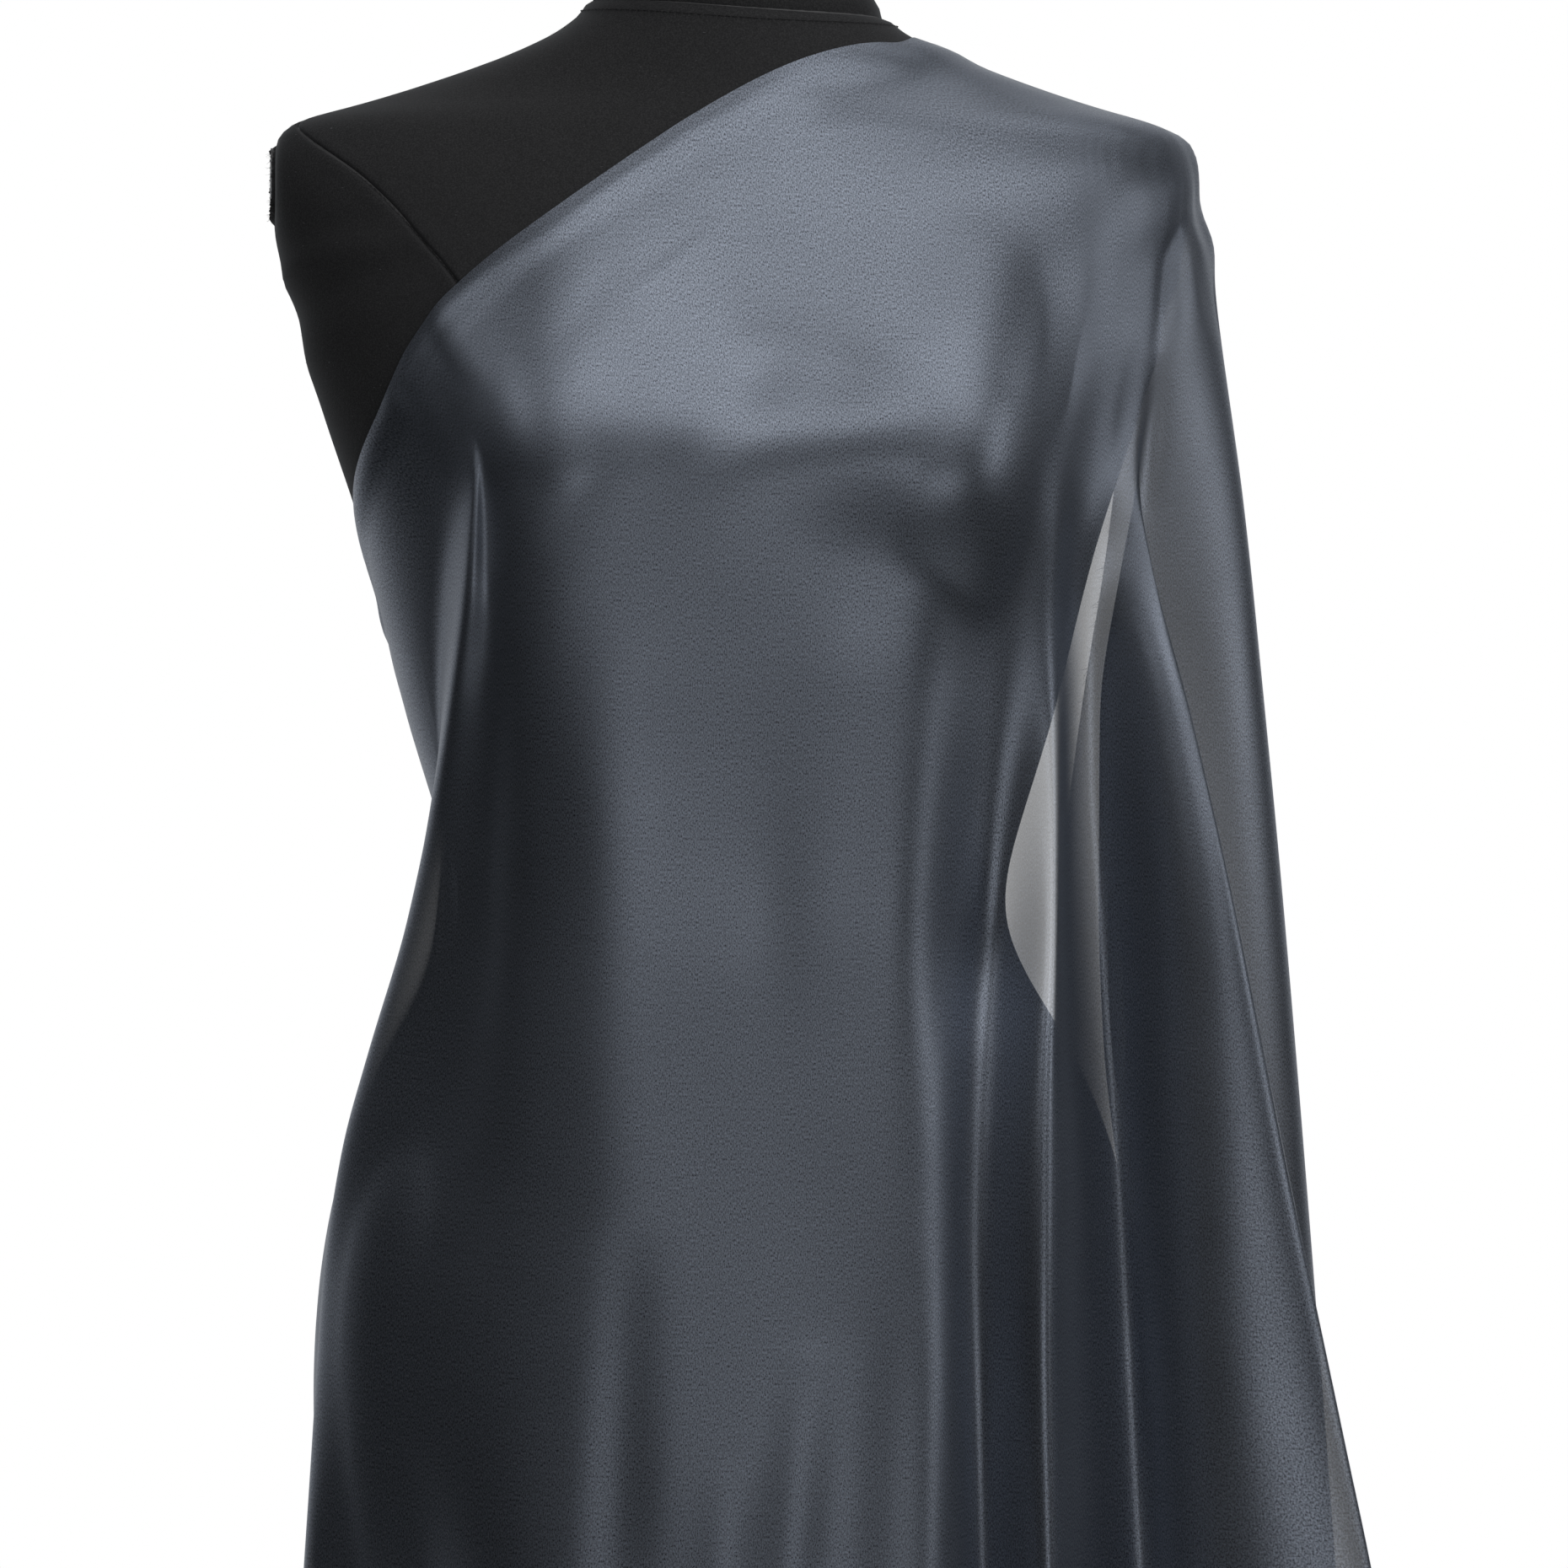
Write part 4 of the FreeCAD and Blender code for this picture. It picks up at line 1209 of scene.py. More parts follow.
    def _threads(self) -> list[bpy.types.Object]:
        """Seam stitches, loose threads at the raw edge, and lint that the knit has picked up.

        Returns:
            The three pieces.
        """
        torso = self.torso
        normals = grid_normals(self.points, closed=True)
        seam, below_seam, at_hem = torso.neck_row, torso.neck_row + 2, torso.rows - 4
        lines, facings = [], []
        ring = np.arange(self.points.shape[1] + 1) % self.points.shape[1]
        for row in (below_seam, at_hem):
            lines.append(self.points[row, ring] + normals[row, ring] * self.stitch_rise)
            facings.append(normals[row, ring])
        for start in torso.panel_starts():
            facing = normals[below_seam:, start]
            lines.append(self.points[below_seam:, start] + facing * self.stitch_rise)
            facings.append(facing)
        stitch = bent_stitch(self.stitch_length, self.stitch_radius)
        sewn = self.in_line.copies(
            "cover_stitches", guide_lines(lines, facings), pitch=self.stitch_pitch, tilt=0.06,
            smallest=0.9, largest=1.05, share=1.0, seed=3, piece=stitch, finish=self.thread)
        strand = fibre(3.2 * MM, 0.09 * MM, 0.7)
        edge = self._ring(Side.RIGHT, 14.6 * MM, 2.7 * MM)
        outward = np.broadcast_to((float(Side.RIGHT.value), 0.0, 0.0), edge.shape)
        frayed = self.in_line.copies(
            "raw_edge_threads", guide_lines([edge], [outward]), pitch=0.5 * MM, tilt=1.1,
            smallest=0.15, largest=0.7, share=0.8, seed=5, piece=strand, finish=self.thread)
        speck = fibre(1.1 * MM, 0.05 * MM, 0.25)
        guide = grid_object("guide", self.points[seam:] + normals[seam:] * 0.1 * MM, closed=True)
        dust = self.strewn.copies(
            "cover_lint", guide, pitch=16 * MM, tilt=0.25, smallest=0.3, largest=1.3, share=1.0,
            seed=7, piece=speck, finish=self.lint)
        for piece in (sewn, frayed, dust):
            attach(piece, "torso")
        return [sewn, frayed, dust]

    @staticmethod
    def _turned(edge: Grid, level: float, steps: Sequence[tuple[float, float]]) -> Grid:
        """Rings that carry an edge on round a rim.

        Args:
            edge: The edge's points.
            level: Height from which the steps rise.
            steps: Outwards and upwards, in millimetres.

        Returns:
            One ring for each step.
        """
        out = edge[:, :2] / np.linalg.norm(edge[:, :2], axis=1, keepdims=True)
        rings = []
        for outward, lift in steps:
            ring = edge.copy()
            ring[:, :2] += out * outward * MM
            ring[:, 2] = level + lift * MM
            rings.append(ring)
        return np.array(rings)

    def _neck_band(self) -> bpy.types.Object:
        """The band from the neck seam up and over the rim.

        Returns:
            The piece.
        """
        band = self.points[:self.torso.neck_row + 1]
        rim = self._turned(band[0], self.torso.top, NECK_TURN[::-1])
        piece = grid_object("cover_neck_band_knit", np.concatenate([rim, band]), closed=True)
        finish_with(piece, self.material)
        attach(piece, "torso")
        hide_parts("cover_neck_band")
        return piece

    def _hem(self) -> bpy.types.Object:
        """The lower edge turned under the board.

        Returns:
            The piece.
        """
        under = self._turned(self.points[-1], self.torso.base, HEM_TURN)
        piece = grid_object("cover_hem_knit", np.concatenate([self.points[-1:], under]),
                            closed=True)
        finish_with(piece, self.material)
        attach(piece, "torso")
        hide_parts("cover_hem")
        return piece


# ------------------------------------------------------------------ the drape

# Each fold line of the satin runs down from its upper edge.  A point is its height from the
# waist, how far it lies to the viewer's right of the mast, and how far towards the viewer, in
# millimetres, for a viewer who stands six degrees round to the form's right.  A point with two
# numbers lies on the form's front.
FoldPoint = tuple[float, float] | tuple[float, float, float]

FOLDS: dict[str, tuple[FoldPoint, ...]] = {
    "back_edge": ((92, -62, -94), (0, -64, -94), (-120, -70, -124), (-300, -76, -136),
        (-500, -84, -150)),
    "back_hollow": ((108, -104, -84), (0, -98, -76), (-120, -112, -116), (-300, -120, -122),
        (-500, -130, -160)),
    "back_hip": ((126, -142, -50), (60, -126, -46), (0, -118, -46), (-60, -136, -56),
        (-120, -160, -66), (-300, -164, -76), (-500, -172, -105)),
    "side": ((142, -158, -4), (100, -148, 0), (50, -128, 0), (0, -126, 0), (-60, -152, 0),
        (-100, -168, 0), (-150, -178, 0), (-200, -183, 0), (-320, -184, 0), (-500, -190, -10)),
    "side_hollow": ((192, -156, 32), (165, -147, 50), (140, -139, 60), (100, -132, 52),
        (50, -126, 38), (0, -130, 30), (-60, -154, 28), (-100, -168, 24), (-200, -183, 24),
        (-320, -185, 30), (-500, -194, 30)),
    "valley": ((222, -152), (204, -140), (184, -129, 90), (150, -127, 78), (100, -127, 60),
        (50, -127, 44), (0, -138, 40), (-60, -158, 36), (-100, -169, 32), (-154, -178, 32),
        (-250, -185, 34), (-500, -198, 44)),
    "rim": ((236, -146), (208, -126), (182, -115, 108), (150, -117, 106), (109, -122, 93),
        (56, -130, 72), (0, -142, 58), (-60, -160, 48), (-100, -171, 44), (-154, -179, 42),
        (-250, -185, 46), (-500, -200, 60)),
    "left_slope": ((258, -133), (200, -106), (150, -105, 116), (100, -107, 104), (0, -114, 86),
        (-100, -132), (-200, -150), (-320, -150, 74), (-500, -160, 100)),
    "left_bust": ((277, -116), (200, -86), (140, -86, 125), (100, -86, 121), (0, -88, 112),
        (-100, -96, 114), (-200, -102, 124), (-320, -104, 140), (-500, -110, 166)),
    "band_left": ((301, -86), (250, -72), (200, -58), (100, -56, 127), (0, -56, 124),
        (-100, -60, 129), (-200, -62, 141), (-320, -64, 161), (-500, -68, 192)),
    "band_middle": ((329, -48), (262, -34), (200, -22, 125), (100, -20, 122), (0, -18, 120),
        (-100, -16, 128), (-200, -14, 142), (-320, -14, 163), (-500, -14, 196)),
    "band_right": ((357, -7), (300, 3), (245, 12), (200, 17, 120), (150, 18, 115), (100, 18, 113),
        (0, 20, 113), (-100, 23, 123), (-200, 26, 138), (-320, 28, 158), (-500, 30, 190)),
    "right_slope": ((377, 31), (330, 39), (285, 45), (240, 50), (204, 52, 118), (150, 54, 108),
        (100, 54, 105), (0, 54, 106), (-100, 58, 116), (-200, 62, 131), (-320, 66, 150),
        (-500, 70, 178)),
    "right_bust": ((385, 58), (345, 70), (300, 80), (245, 86), (204, 88), (150, 88, 101),
        (100, 86, 97), (0, 84, 97), (-100, 88, 105), (-200, 90, 119), (-500, 96, 156)),
    "hollow": ((386, 68), (335, 112), (204, 122), (150, 118, 80), (100, 116, 72), (0, 114, 64),
        (-60, 112, 81), (-100, 111, 91), (-150, 110, 98), (-200, 110, 101), (-320, 111, 98),
        (-500, 118, 104)),
    "arm_ridge": ((387, 75), (350, 142), (270, 148), (200, 140, 75), (118, 139, 66), (60, 140, 72),
        (0, 139, 86), (-60, 137, 104), (-100, 136, 113), (-150, 136, 119), (-200, 136, 122),
        (-320, 137, 126), (-500, 142, 140)),
    "pleat_back": ((388, 78, 18), (352, 152), (270, 156, 53), (200, 148, 65), (118, 146, 52),
        (60, 146, 52), (0, 146, 60), (-60, 147, 72), (-100, 148, 80), (-200, 149, 86),
        (-500, 156, 104)),
    "deep_hollow": ((388, 80, 13), (352, 163), (270, 166, 46), (200, 157, 54), (100, 160, 38),
        (0, 165, 34), (-100, 170, 40), (-200, 176, 50), (-320, 182, 50), (-500, 192, 56)),
    "wide_ridge": ((388, 84, 8), (352, 175, 14), (270, 178, 37), (200, 167, 46), (154, 174, 47),
        (100, 184, 59), (0, 193, 73), (-100, 198, 81), (-200, 204, 88), (-320, 214, 92),
        (-500, 234, 102)),
    "fold_edge": ((388, 86, 3), (352, 187, 9), (270, 190, 28), (205, 177, 38), (154, 185, 46),
        (90, 201, 60), (4, 220, 76), (-128, 246, 84), (-226, 266, 90), (-289, 279, 93),
        (-500, 312, 108)),
    "fold_return": ((387, 88, -4), (352, 194, 2), (270, 201, 19), (205, 184, 28), (154, 172, 32),
        (90, 162, 30), (0, 161, 28), (-56, 163, 32), (-101, 168, 36), (-134, 172, 40),
        (-200, 174, 42), (-320, 171, 38), (-500, 178, 36)),
    "outer": ((386, 90, -10), (351, 200, -5), (320, 208, 1), (270, 212, 7), (200, 213, 12),
        (100, 220, 8), (0, 228, 6), (-200, 240, 2), (-500, 260, 0)),
    "far_side": ((384, 92, -18), (350, 203, -14), (332, 210, -14), (270, 217, -8), (190, 228, -6),
        (100, 238, -12), (0, 248, -18), (-200, 265, -28), (-500, 288, -45)),
    "far_back": ((381, 94, -26), (350, 200, -32), (332, 211, -36), (300, 213, -40),
        (270, 208, -46), (190, 210, -52), (100, 216, -60), (0, 224, -66), (-200, 238, -84),
        (-500, 255, -120)),
    "tail_hollow": ((377, 95, -34), (347, 176, -60), (320, 184, -74), (270, 184, -88),
        (190, 190, -84), (100, 188, -88), (0, 194, -84), (-200, 208, -118), (-500, 215, -150)),
    "tail_edge": ((372, 92, -46), (345, 122, -82), (270, 152, -104), (214, 176, -90),
        (165, 171, -88), (109, 162, -90), (49, 154, -94), (0, 149, -96), (-200, 145, -125),
        (-500, 138, -150)),
}


@dataclass(frozen=True)
class Crease:
    """A soft line pressed into or raised from the satin, between two points of the front view.

    The points are heights from the waist and places across, and all numbers are in millimetres.
    """

    start: tuple[float, float]
    end: tuple[float, float]
    width: float
    depth: float


CREASES = (
    Crease((271, -56), (301, -18), 5, -0.7),
    Crease((266, -46), (298, -4), 7, 0.6),
    Crease((250, -60), (284, 6), 9, -0.6),
    Crease((366, 31), (372, 52), 4, -0.8),
    Crease((352, 20), (364, 46), 5, 0.7),
    Crease((318, 196), (258, 189), 4, -1.8),
    Crease((258, 189), (185, 183), 5, -1.6),
    Crease((320, 203), (262, 215), 5, -1.5),
    Crease((336, 198), (328, 194), 6, -2.0),
    Crease((300, 150), (230, 140), 9, -1.4),
    Crease((250, 178), (200, 170), 6, -1.2),
    Crease((-190, 34), (-340, 20), 13, -4.0),
    Crease((-240, 0), (-340, -8), 12, 2.6),
    Crease((-140, -44), (-340, -50), 14, -3.2),
    Crease((-160, 74), (-340, 66), 12, -2.4),
    Crease((60, 10), (-40, 14), 18, 1.2),
)


@dataclass
class Drape:
    """The satin sheet, hung on its fold lines and settled on the form."""

    torso: TorsoSurface
    material: bpy.types.Material
    in_line: Repeat
    rows: int = 240
    columns: int = 384
    viewer_turn: float = math.radians(-6)
    gap: float = 1.6 * MM
    settle_rounds: int = 4
    smooth_rounds: int = 3
    roll: tuple[float, ...] = (0.1, 0.9, 1.3, 1.2, 0.7, 0.2)
    flat_size: tuple[float, float] = (1.49, 0.98)
    cut_area: float = 0.92
    frays_from: int = 20
    creased_facing: float = 0.15

    def build(self) -> list[bpy.types.Object]:
        """Returns:
            The sheet and its frayed edges.
        """
        self.towards = Vector((math.sin(self.viewer_turn), -math.cos(self.viewer_turn), 0))
        self.across = Vector((math.cos(self.viewer_turn), math.sin(self.viewer_turn), 0))
        points = self._settle(self._hang())
        points = self._press(points)
        points = self._rolled(self.torso.clear(points, self.gap))
        piece = grid_object("satin_drape_sheet", points, flat=self._flat(points))
        finish_with(piece, self.material)
        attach(piece, "torso")
        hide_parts("satin_drape")
        frayed = self._fray(points)
        return [piece, frayed]

    def _fray(self, points: Grid) -> bpy.types.Object:
        """Loose thread ends along the sheet's cut sides and hem.

        Args:
            points: The sheet's grid.

        Returns:
            The thread ends as one piece.
        """
        normals = grid_normals(points)
        below = slice(self.frays_from, None)
        edges = ((below, 0), (below, -1), (-1, slice(None)))
        guide = guide_lines([points[e] for e in edges], [normals[e] for e in edges])
        strand = fibre(3.0 * MM, 0.07 * MM, 0.5)
        frayed = self.in_line.copies(
            "satin_frayed_ends", guide, pitch=1.3 * MM, tilt=1.4, smallest=0.3, largest=1.5,
            share=0.8, seed=9, piece=strand, finish=self.material)
        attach(frayed, "torso")
        return frayed

    @staticmethod
    def _flat(points: Grid) -> Grid:
        """Each point's place on the flat cloth: along the hem's mean, and up from the hem.

        Args:
            points: The sheet's grid.

        Returns:
            Two numbers for each point, in metres.
        """
        down = np.linalg.norm(np.diff(points, axis=0), axis=-1)
        across = np.linalg.norm(np.diff(points, axis=1), axis=-1)
        hem = np.zeros((1, points.shape[1]))
        height = np.concatenate([np.cumsum(down[::-1], axis=0)[::-1], hem])
        along = np.concatenate([[0], np.cumsum(across.mean(axis=0))])
        LOG.info("satin as hung: hem %.3f m, longest fall %.3f m, mean width %.3f m, area %.3f",
                 across[-1].sum(), height.max(), along[-1],
                 (down[:, :-1] * across[:-1]).sum())
        return np.stack([np.broadcast_to(along, height.shape), height], axis=-1)

    def _hang(self) -> Grid:
        """Skin the fold lines with a smooth grid.

        Returns:
            Rows from top to bottom, columns anticlockwise from above.
        """
        lines = np.array([self._line(points) for points in FOLDS.values()])
        steps = np.linalg.norm(np.diff(lines, axis=0), axis=-1).mean(axis=1)
        knots = np.concatenate([[0], np.cumsum(steps)])
        at = np.linspace(0, knots[-1], self.columns)
        return cubic_through(knots, lines, at).transpose(1, 0, 2)

    def _place(self, point: FoldPoint) -> Vector:
        """A fold point in the frame's own axes, in metres.

        Args:
            point: A point of a fold line.

        Returns:
            The place.
        """
        height, across = point[0] * MM + self.torso.waist, point[1] * MM
        if len(point) == 3:
            return self.across * across + self.towards * point[2] * MM + Vector((0, 0, height))
        start = self.across * across + self.towards * self.torso.reach + Vector((0, 0, height))
        place, _, _, _ = self.torso.tree.ray_cast(start, -self.towards, 2 * self.torso.reach)
        return place + self.towards * self.gap

    def _line(self, points: tuple[FoldPoint, ...]) -> np.ndarray:
        """A fold line as evenly spaced points, in metres.

        Args:
            points: The line's fold points.

        Returns:
            The points, from the upper edge down.
        """
        given = np.array([self._place(point) for point in points])
        steps = np.linalg.norm(np.diff(given, axis=0), axis=1)
        path = np.concatenate([[0], np.cumsum(steps)])
        return hermite_through(path, given, np.linspace(0, path[-1], self.rows))

    def _settle(self, points: Grid) -> Grid:
        """Let the sheet lie on the form, smoothing it between touches.

        Args:
            points: The hung grid.

        Returns:
            The settled grid.
        """
        for _ in range(self.settle_rounds):
            points = self.torso.clear(points, self.gap)
            for _ in range(self.smooth_rounds):
                points = relaxed(points)
            points = self.torso.hug(points, self.gap)
        return points

    def _press(self, points: Grid) -> Grid:
        """Press the creases into the side that the front view shows.

        Args:
            points: The settled grid.

        Returns:
            The creased grid.
        """
        normals = grid_normals(points)
        facing = normals @ np.array(self.towards)
        across = points @ np.array(self.across) / MM
        height = (points[..., 2] - self.torso.waist) / MM
        push = np.zeros(across.shape)
        for crease in CREASES:
            start, end = np.array(crease.start), np.array(crease.end)
            line = end - start
            share = (((height - start[0]) * line[0] + (across - start[1]) * line[1])
                     / (line @ line))
            nearest = np.clip(share, 0, 1)
            away = np.hypot(height - start[0] - nearest * line[0],
                            across - start[1] - nearest * line[1])
            fade = 0.35 + 0.65 * np.sin(math.pi * np.clip(share, 0, 1))
            push += crease.depth * MM * bump(away, crease.width) * fade
        return points + normals * (push * (facing > self.creased_facing))[..., None]

    def _rolled(self, points: Grid) -> Grid:
        """Raise the upper edge into a soft roll.

        Args:
            points: The sheet's grid.

        Returns:
            The grid with its roll.
        """
        normals = grid_normals(points)
        rolled = points.copy()
        for row, lift in enumerate(self.roll):
            rolled[row] += normals[row] * lift * MM
        return rolled


def relaxed(points: Grid) -> Grid:
    """Every point of a grid moved halfway to its neighbours' mean, edges along themselves.

    Args:
        points: A grid with two free ends each way.

    Returns:
        The moved points.
    """
    padded = np.pad(points, ((1, 1), (1, 1), (0, 0)), mode="edge")
    mean = (padded[:-2, 1:-1] + padded[2:, 1:-1] + padded[1:-1, :-2] + padded[1:-1, 2:]) / 4
    moved = points + 0.5 * (mean - points)
    for row in (0, -1):
        moved[row, 1:-1] = points[row, 1:-1] / 2 + (points[row, :-2] + points[row, 2:]) / 4
        moved[row, [0, -1]] = points[row, [0, -1]]
    for column in (0, -1):
        moved[1:-1, column] = points[1:-1, column] / 2 + (points[:-2, column]
                                                          + points[2:, column]) / 4
    return moved


def cubic_through(knots: np.ndarray, values: np.ndarray, at: np.ndarray) -> np.ndarray:
    """A natural cubic through values at knots, for each trailing number.

    Args:
        knots: Rising positions, one for each value.
        values: Values to pass through, along the first axis.
        at: Positions to read.

    Returns:
        The curve at those positions.
    """
    count = len(knots)
    step = np.diff(knots)
    system = np.zeros((count, count))
    right = np.zeros_like(values)
    system[0, 0] = system[-1, -1] = 1
    shape = (-1,) + (1,) * (values.ndim - 1)
    slope = np.diff(values, axis=0) / step.reshape(shape)
    for i in range(1, count - 1):
        system[i, i - 1:i + 2] = step[i - 1], 2 * (step[i - 1] + step[i]), step[i]
        right[i] = 6 * (slope[i] - slope[i - 1])
    bend = np.linalg.solve(system, right.reshape(count, -1)).reshape(values.shape)
    k = np.clip(np.searchsorted(knots, at) - 1, 0, count - 2)
    width = step[k].reshape(shape)
    after = ((at - knots[k]).reshape(shape)) / width
    before = 1 - after
    return (before * values[k] + after * values[k + 1]
            + ((before ** 3 - before) * bend[k] + (after ** 3 - after) * bend[k + 1])
            * width ** 2 / 6)


def hermite_through(knots: np.ndarray, values: np.ndarray, at: np.ndarray) -> np.ndarray:
    """A curve through values at knots that never passes beyond neighbouring values.

    Args:
        knots: Rising positions, one for each value.
        values: Values to pass through, along the first axis.
        at: Positions to read.

    Returns:
        The curve at those positions.
    """
    step = np.diff(knots)[:, None]
    slope = np.diff(values, axis=0) / step
    same = slope[:-1] * slope[1:] > 0
    mean = 2 * slope[:-1] * slope[1:] / np.where(same, slope[:-1] + slope[1:], 1)
    tangent = np.concatenate([slope[:1], np.where(same, mean, 0), slope[-1:]])
    k = np.clip(np.searchsorted(knots, at) - 1, 0, len(knots) - 2)
    t = ((at - knots[k]) / step[k, 0])[:, None]
    return ((1 + 2 * t) * (1 - t) ** 2 * values[k] + t * (1 - t) ** 2 * step[k] * tangent[k]
            + t ** 2 * (3 - 2 * t) * values[k + 1] + t ** 2 * (t - 1) * step[k] * tangent[k + 1])


# ------------------------------------------------------------------ stand and hidden pieces


@dataclass
class Hardware:
    """Finishes for the CAD nodes that show as they are."""

    def build(self) -> None:
        """Assign a material to every shown CAD node."""
        upright = WoodFinish("stained_beech").build()
        legs = (WoodFinish("stained_beech_x", stretch=(0.07, 1, 0.07)).build(),
                WoodFinish("stained_beech_y", stretch=(1, 0.07, 0.07)).build())
        chrome = MetalFinish("chrome", (0.75, 0.75, 0.77, 1), 0.08).build()
        zinc = MetalFinish("zinc", (0.55, 0.55, 0.57, 1), 0.3, (1, 1, 1)).build()
        brass = MetalFinish("brass", (0.70, 0.52, 0.22, 1), 0.25, (1, 1, 1)).build()
        black_steel = MouldedFinish("powder_coat", (0.02, 0.02, 0.022, 1), 0.5).build()
        black_plastic = MouldedFinish("black_plastic", (0.018, 0.018, 0.02, 1), 0.42).build()
        rubber = MouldedFinish("rubber", (0.022, 0.022, 0.022, 1), 0.85).build()
        nylon = MouldedFinish("nylon", (0.7, 0.69, 0.64, 1), 0.5, 0.03 * MM).build()
        shell = MouldedFinish("moulded_shell", (0.06, 0.06, 0.062, 1), 0.6).build()
        ply = WoodFinish("birch_ply", (0.62, 0.45, 0.27, 1), (0.42, 0.28, 0.15, 1), (0.08, 1, 1),
                         0.6).build()
        dressed = (
            (upright, ("hub", "neck_cap", "finial")),
            (chrome, ("outer_tube", "mast_tube", "socket_sleeve")),
            (zinc, ("leg_screws", "flange_screws", "finial_screw", "height_stud", "swivel_stud",
                    "hub_set_screw", "board_screws")),
            (brass, ("height_shoe", "swivel_shoe")),
            (black_steel, ("socket_flange",)),
            (black_plastic, ("clamp_collar", "socket_ring", "tube_end_cap", "height_knob",
                             "swivel_knob", "arm_plate_left", "arm_plate_right")),
            (nylon, ("collar_bush", "mast_foot", "mast_plug", "socket_plug")),
            (shell, ("torso_shell",)),
            (ply, ("bottom_board", "neck_plug")),
            (rubber, tuple(f"foot_pad_{number}" for number in range(1, 5))),
            (legs[0], ("leg_1", "leg_3")),
            (legs[1], ("leg_2", "leg_4")),
        )
        for material, names in dressed:
            for name in names:
                finish_with(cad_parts[name], material)


# ------------------------------------------------------------------ studio


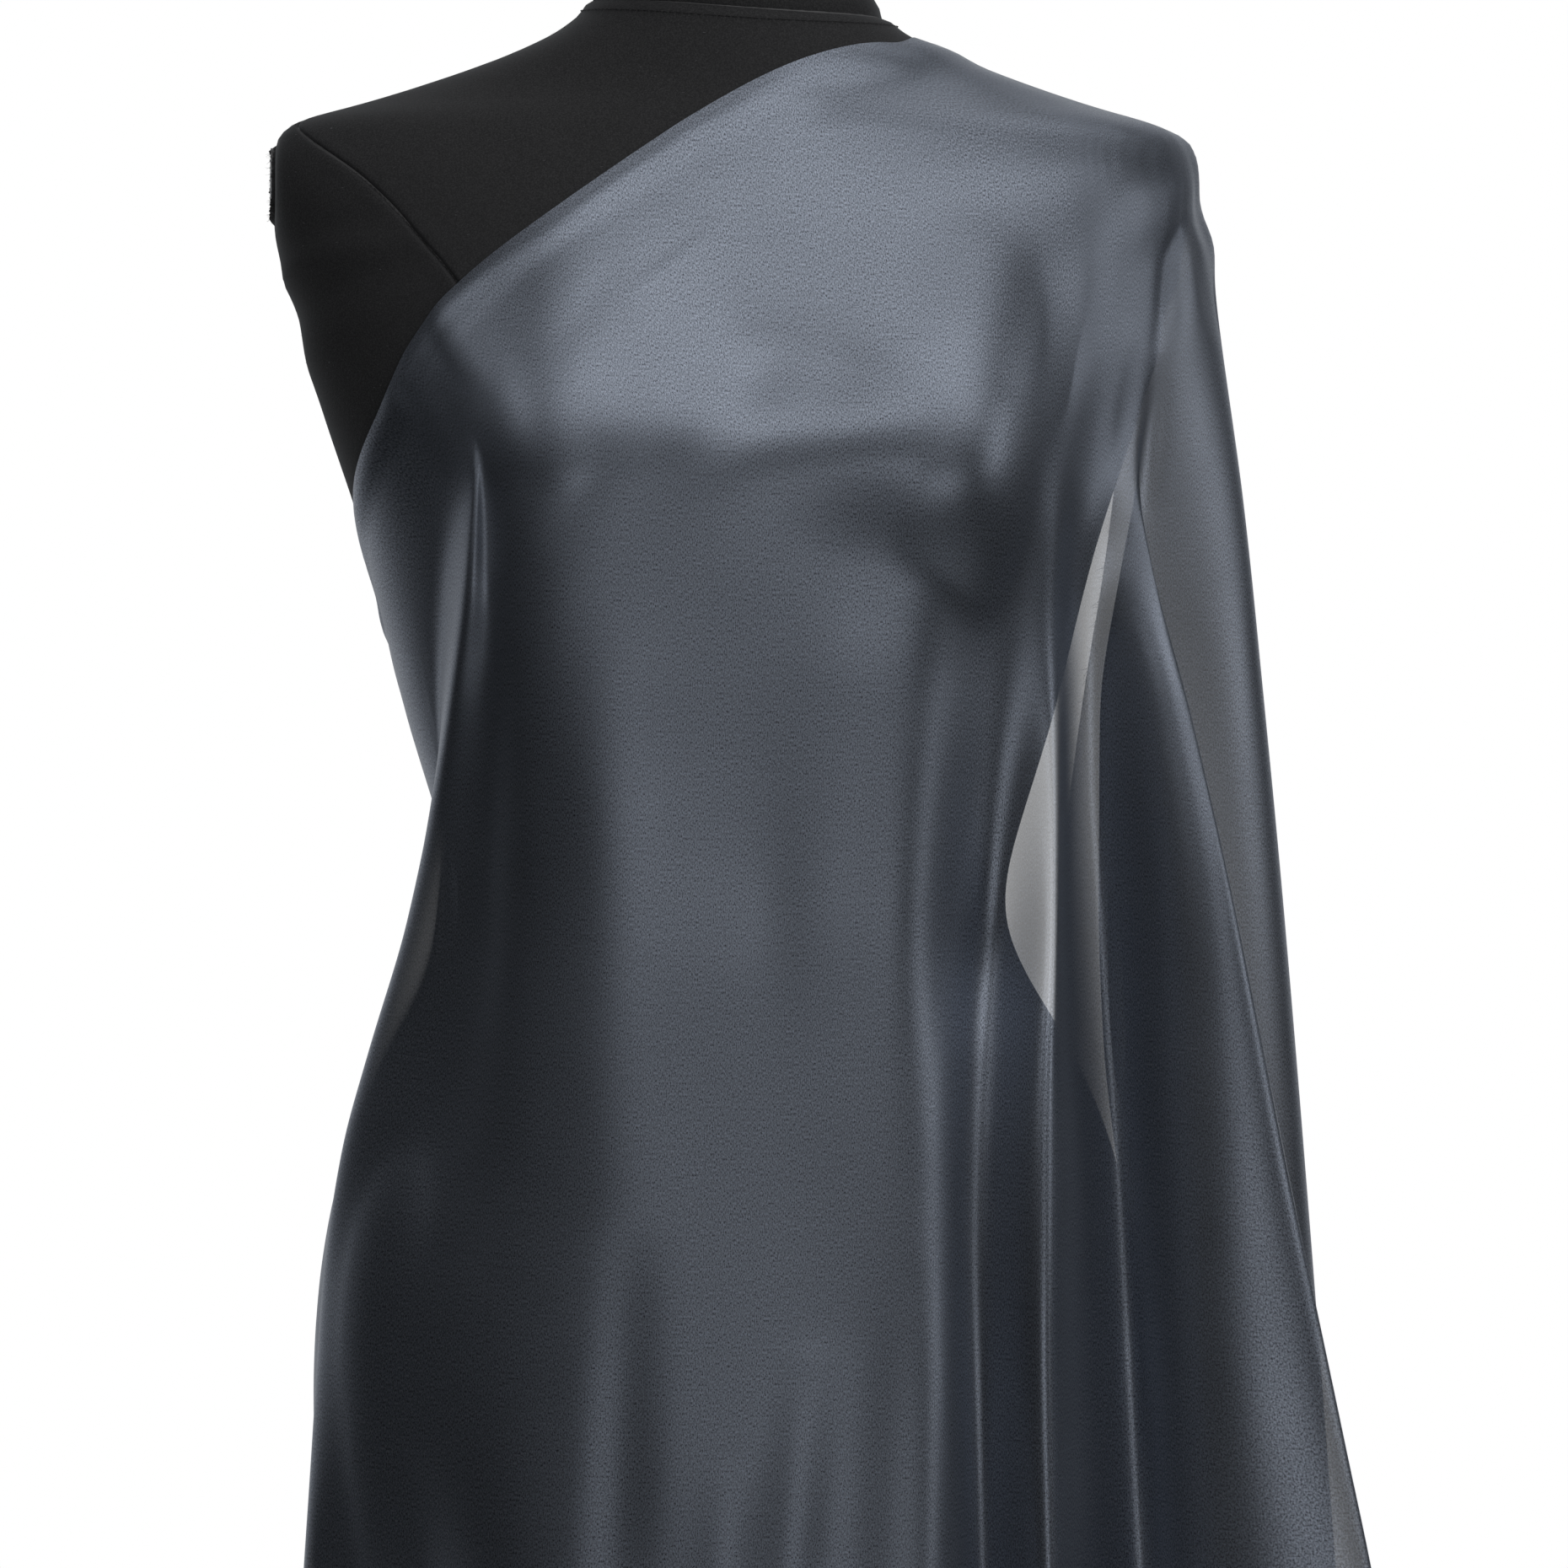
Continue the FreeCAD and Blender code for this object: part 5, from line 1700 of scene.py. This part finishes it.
@dataclass
class Studio:
    """Pale floor, white surroundings, soft lights and the camera."""

    target: tuple[float, float, float] = (0.0229, -0.0024, 1.080)
    distance: float = 2.8
    frame_width: float = 0.699
    azimuth: float = math.radians(-6)
    gloom: float = 0.006
    screen: float = 0.7
    screen_span: tuple[float, float] = (0.45, 0.85)
    floor_radius: float = 1.5
    sensor: float = 36

    def build(self) -> None:
        """Put the studio round the form."""
        self._floor()
        self._world()
        self._light("key", (0.55, -1.75, 2.7), (0.0, 0.0, 1.3), (2.6, 1.3), 20)
        self._light("middle", (0.3, -2.7, 1.7), (0.0, 0.0, 1.2), (1.3, 0.5), 1.6)
        self._light("front", (0.4, -2.6, 0.7), (0.0, 0.0, 1.1), (1.5, 0.3), 5.2)
        self._light("left", (-1.9, -1.5, 2.5), (0.0, 0.0, 1.3), (1.2, 1.0), 6)
        self._light("side", (2.3, -0.9, 1.6), (0.15, 0.0, 1.2), (0.8, 1.2), 6)
        self._light("top", (0.25, -0.1, 3.0), (0.1, 0.0, 1.3), (1.9, 1.6), 9)
        self._camera()

    def _floor(self) -> None:
        """A round pale floor."""
        mesh = bpy.data.meshes.new("floor")
        rim = bmesh.new()
        bmesh.ops.create_circle(rim, cap_ends=True, segments=96, radius=self.floor_radius)
        rim.to_mesh(mesh)
        rim.free()
        floor = plain_object("floor", mesh)
        n = Nodes("pale_floor")
        n.set(base_color=(0.9, 0.9, 0.89, 1), roughness=0.7)
        finish_with(floor, n.material)

    def _world(self) -> None:
        """White to look at; as a light, a white screen behind the form and little else."""
        world = bpy.data.worlds.new("studio")
        bpy.context.scene.world = world
        world.use_nodes = True
        tree = world.node_tree
        tree.nodes.clear()
        path = tree.nodes.new("ShaderNodeLightPath")
        where = tree.nodes.new("ShaderNodeTexCoord")
        split = tree.nodes.new("ShaderNodeSeparateXYZ")
        screen = tree.nodes.new("ShaderNodeMapRange")
        span = zip(("From Min", "From Max", "To Min", "To Max"),
                   (*self.screen_span, self.gloom, self.screen))
        for name, number in span:
            screen.inputs[name].default_value = number
        seen, lit = (tree.nodes.new("ShaderNodeBackground") for _ in range(2))
        seen.inputs["Color"].default_value = (1, 1, 1, 1)
        lit.inputs["Color"].default_value = (0.95, 0.97, 1, 1)
        mix = tree.nodes.new("ShaderNodeMixShader")
        out = tree.nodes.new("ShaderNodeOutputWorld")
        for source, socket in (
                (where.outputs["Generated"], split.inputs[0]),
                (split.outputs["Y"], screen.inputs["Value"]),
                (screen.outputs[0], lit.inputs["Strength"]),
                (path.outputs["Is Camera Ray"], mix.inputs[0]),
                (lit.outputs[0], mix.inputs[1]), (seen.outputs[0], mix.inputs[2]),
                (mix.outputs[0], out.inputs[0])):
            tree.links.new(source, socket)

    def _light(self, name: str, place: tuple[float, float, float],
               aim: tuple[float, float, float], size: tuple[float, float],
               power: float) -> None:
        """A soft box that looks at a point.

        Args:
            name: The light's name.
            place: Where it hangs.
            aim: The point it looks at.
            size: Its width and height, in metres.
            power: In watts.
        """
        light = bpy.data.lights.new(name, "AREA")
        light.shape = "RECTANGLE"
        light.size, light.size_y = size
        light.energy = power
        made = bpy.data.objects.new(name, light)
        bpy.context.scene.collection.objects.link(made)
        made.location = place
        made.rotation_mode = "QUATERNION"
        made.rotation_quaternion = (Vector(aim) - Vector(place)).to_track_quat("-Z", "Y")

    def _camera(self) -> None:
        """The camera at the form's front, a little round to its right."""
        data = bpy.data.cameras.new("camera")
        data.sensor_width = self.sensor
        data.lens = self.sensor * self.distance / self.frame_width
        camera = bpy.data.objects.new("camera", data)
        bpy.context.scene.collection.objects.link(camera)
        back = Vector((math.sin(self.azimuth), -math.cos(self.azimuth), 0))
        camera.location = Vector(self.target) + back * self.distance
        camera.rotation_mode = "QUATERNION"
        camera.rotation_quaternion = (-back).to_track_quat("-Z", "Y")
        bpy.context.scene.camera = camera
        bpy.context.scene.view_settings.view_transform = "Standard"


def main() -> None:
    """Build every piece, dress it and report it."""
    logging.basicConfig(level=logging.INFO, format="%(message)s")
    torso = TorsoSurface()
    in_line, strewn = Repeat("set_in_line", False), Repeat("strewn", True)
    thread = MouldedFinish("sewing_thread", (0.012, 0.012, 0.013, 1), 0.6, 0.02 * MM).build()
    lint = MouldedFinish("pale_lint", (0.16, 0.16, 0.17, 1), 0.9, 0.01 * MM).build()
    pieces = Cover(torso, JerseyFinish().build(), thread, lint, in_line, strewn).build()
    pieces += Drape(torso, SatinFinish().build(), in_line).build()
    for piece in pieces:
        LOG.info("%s: %d faces", piece.name, len(piece.data.polygons))
    Hardware().build()
    Studio().build()


if __name__ == "__main__":
    main()
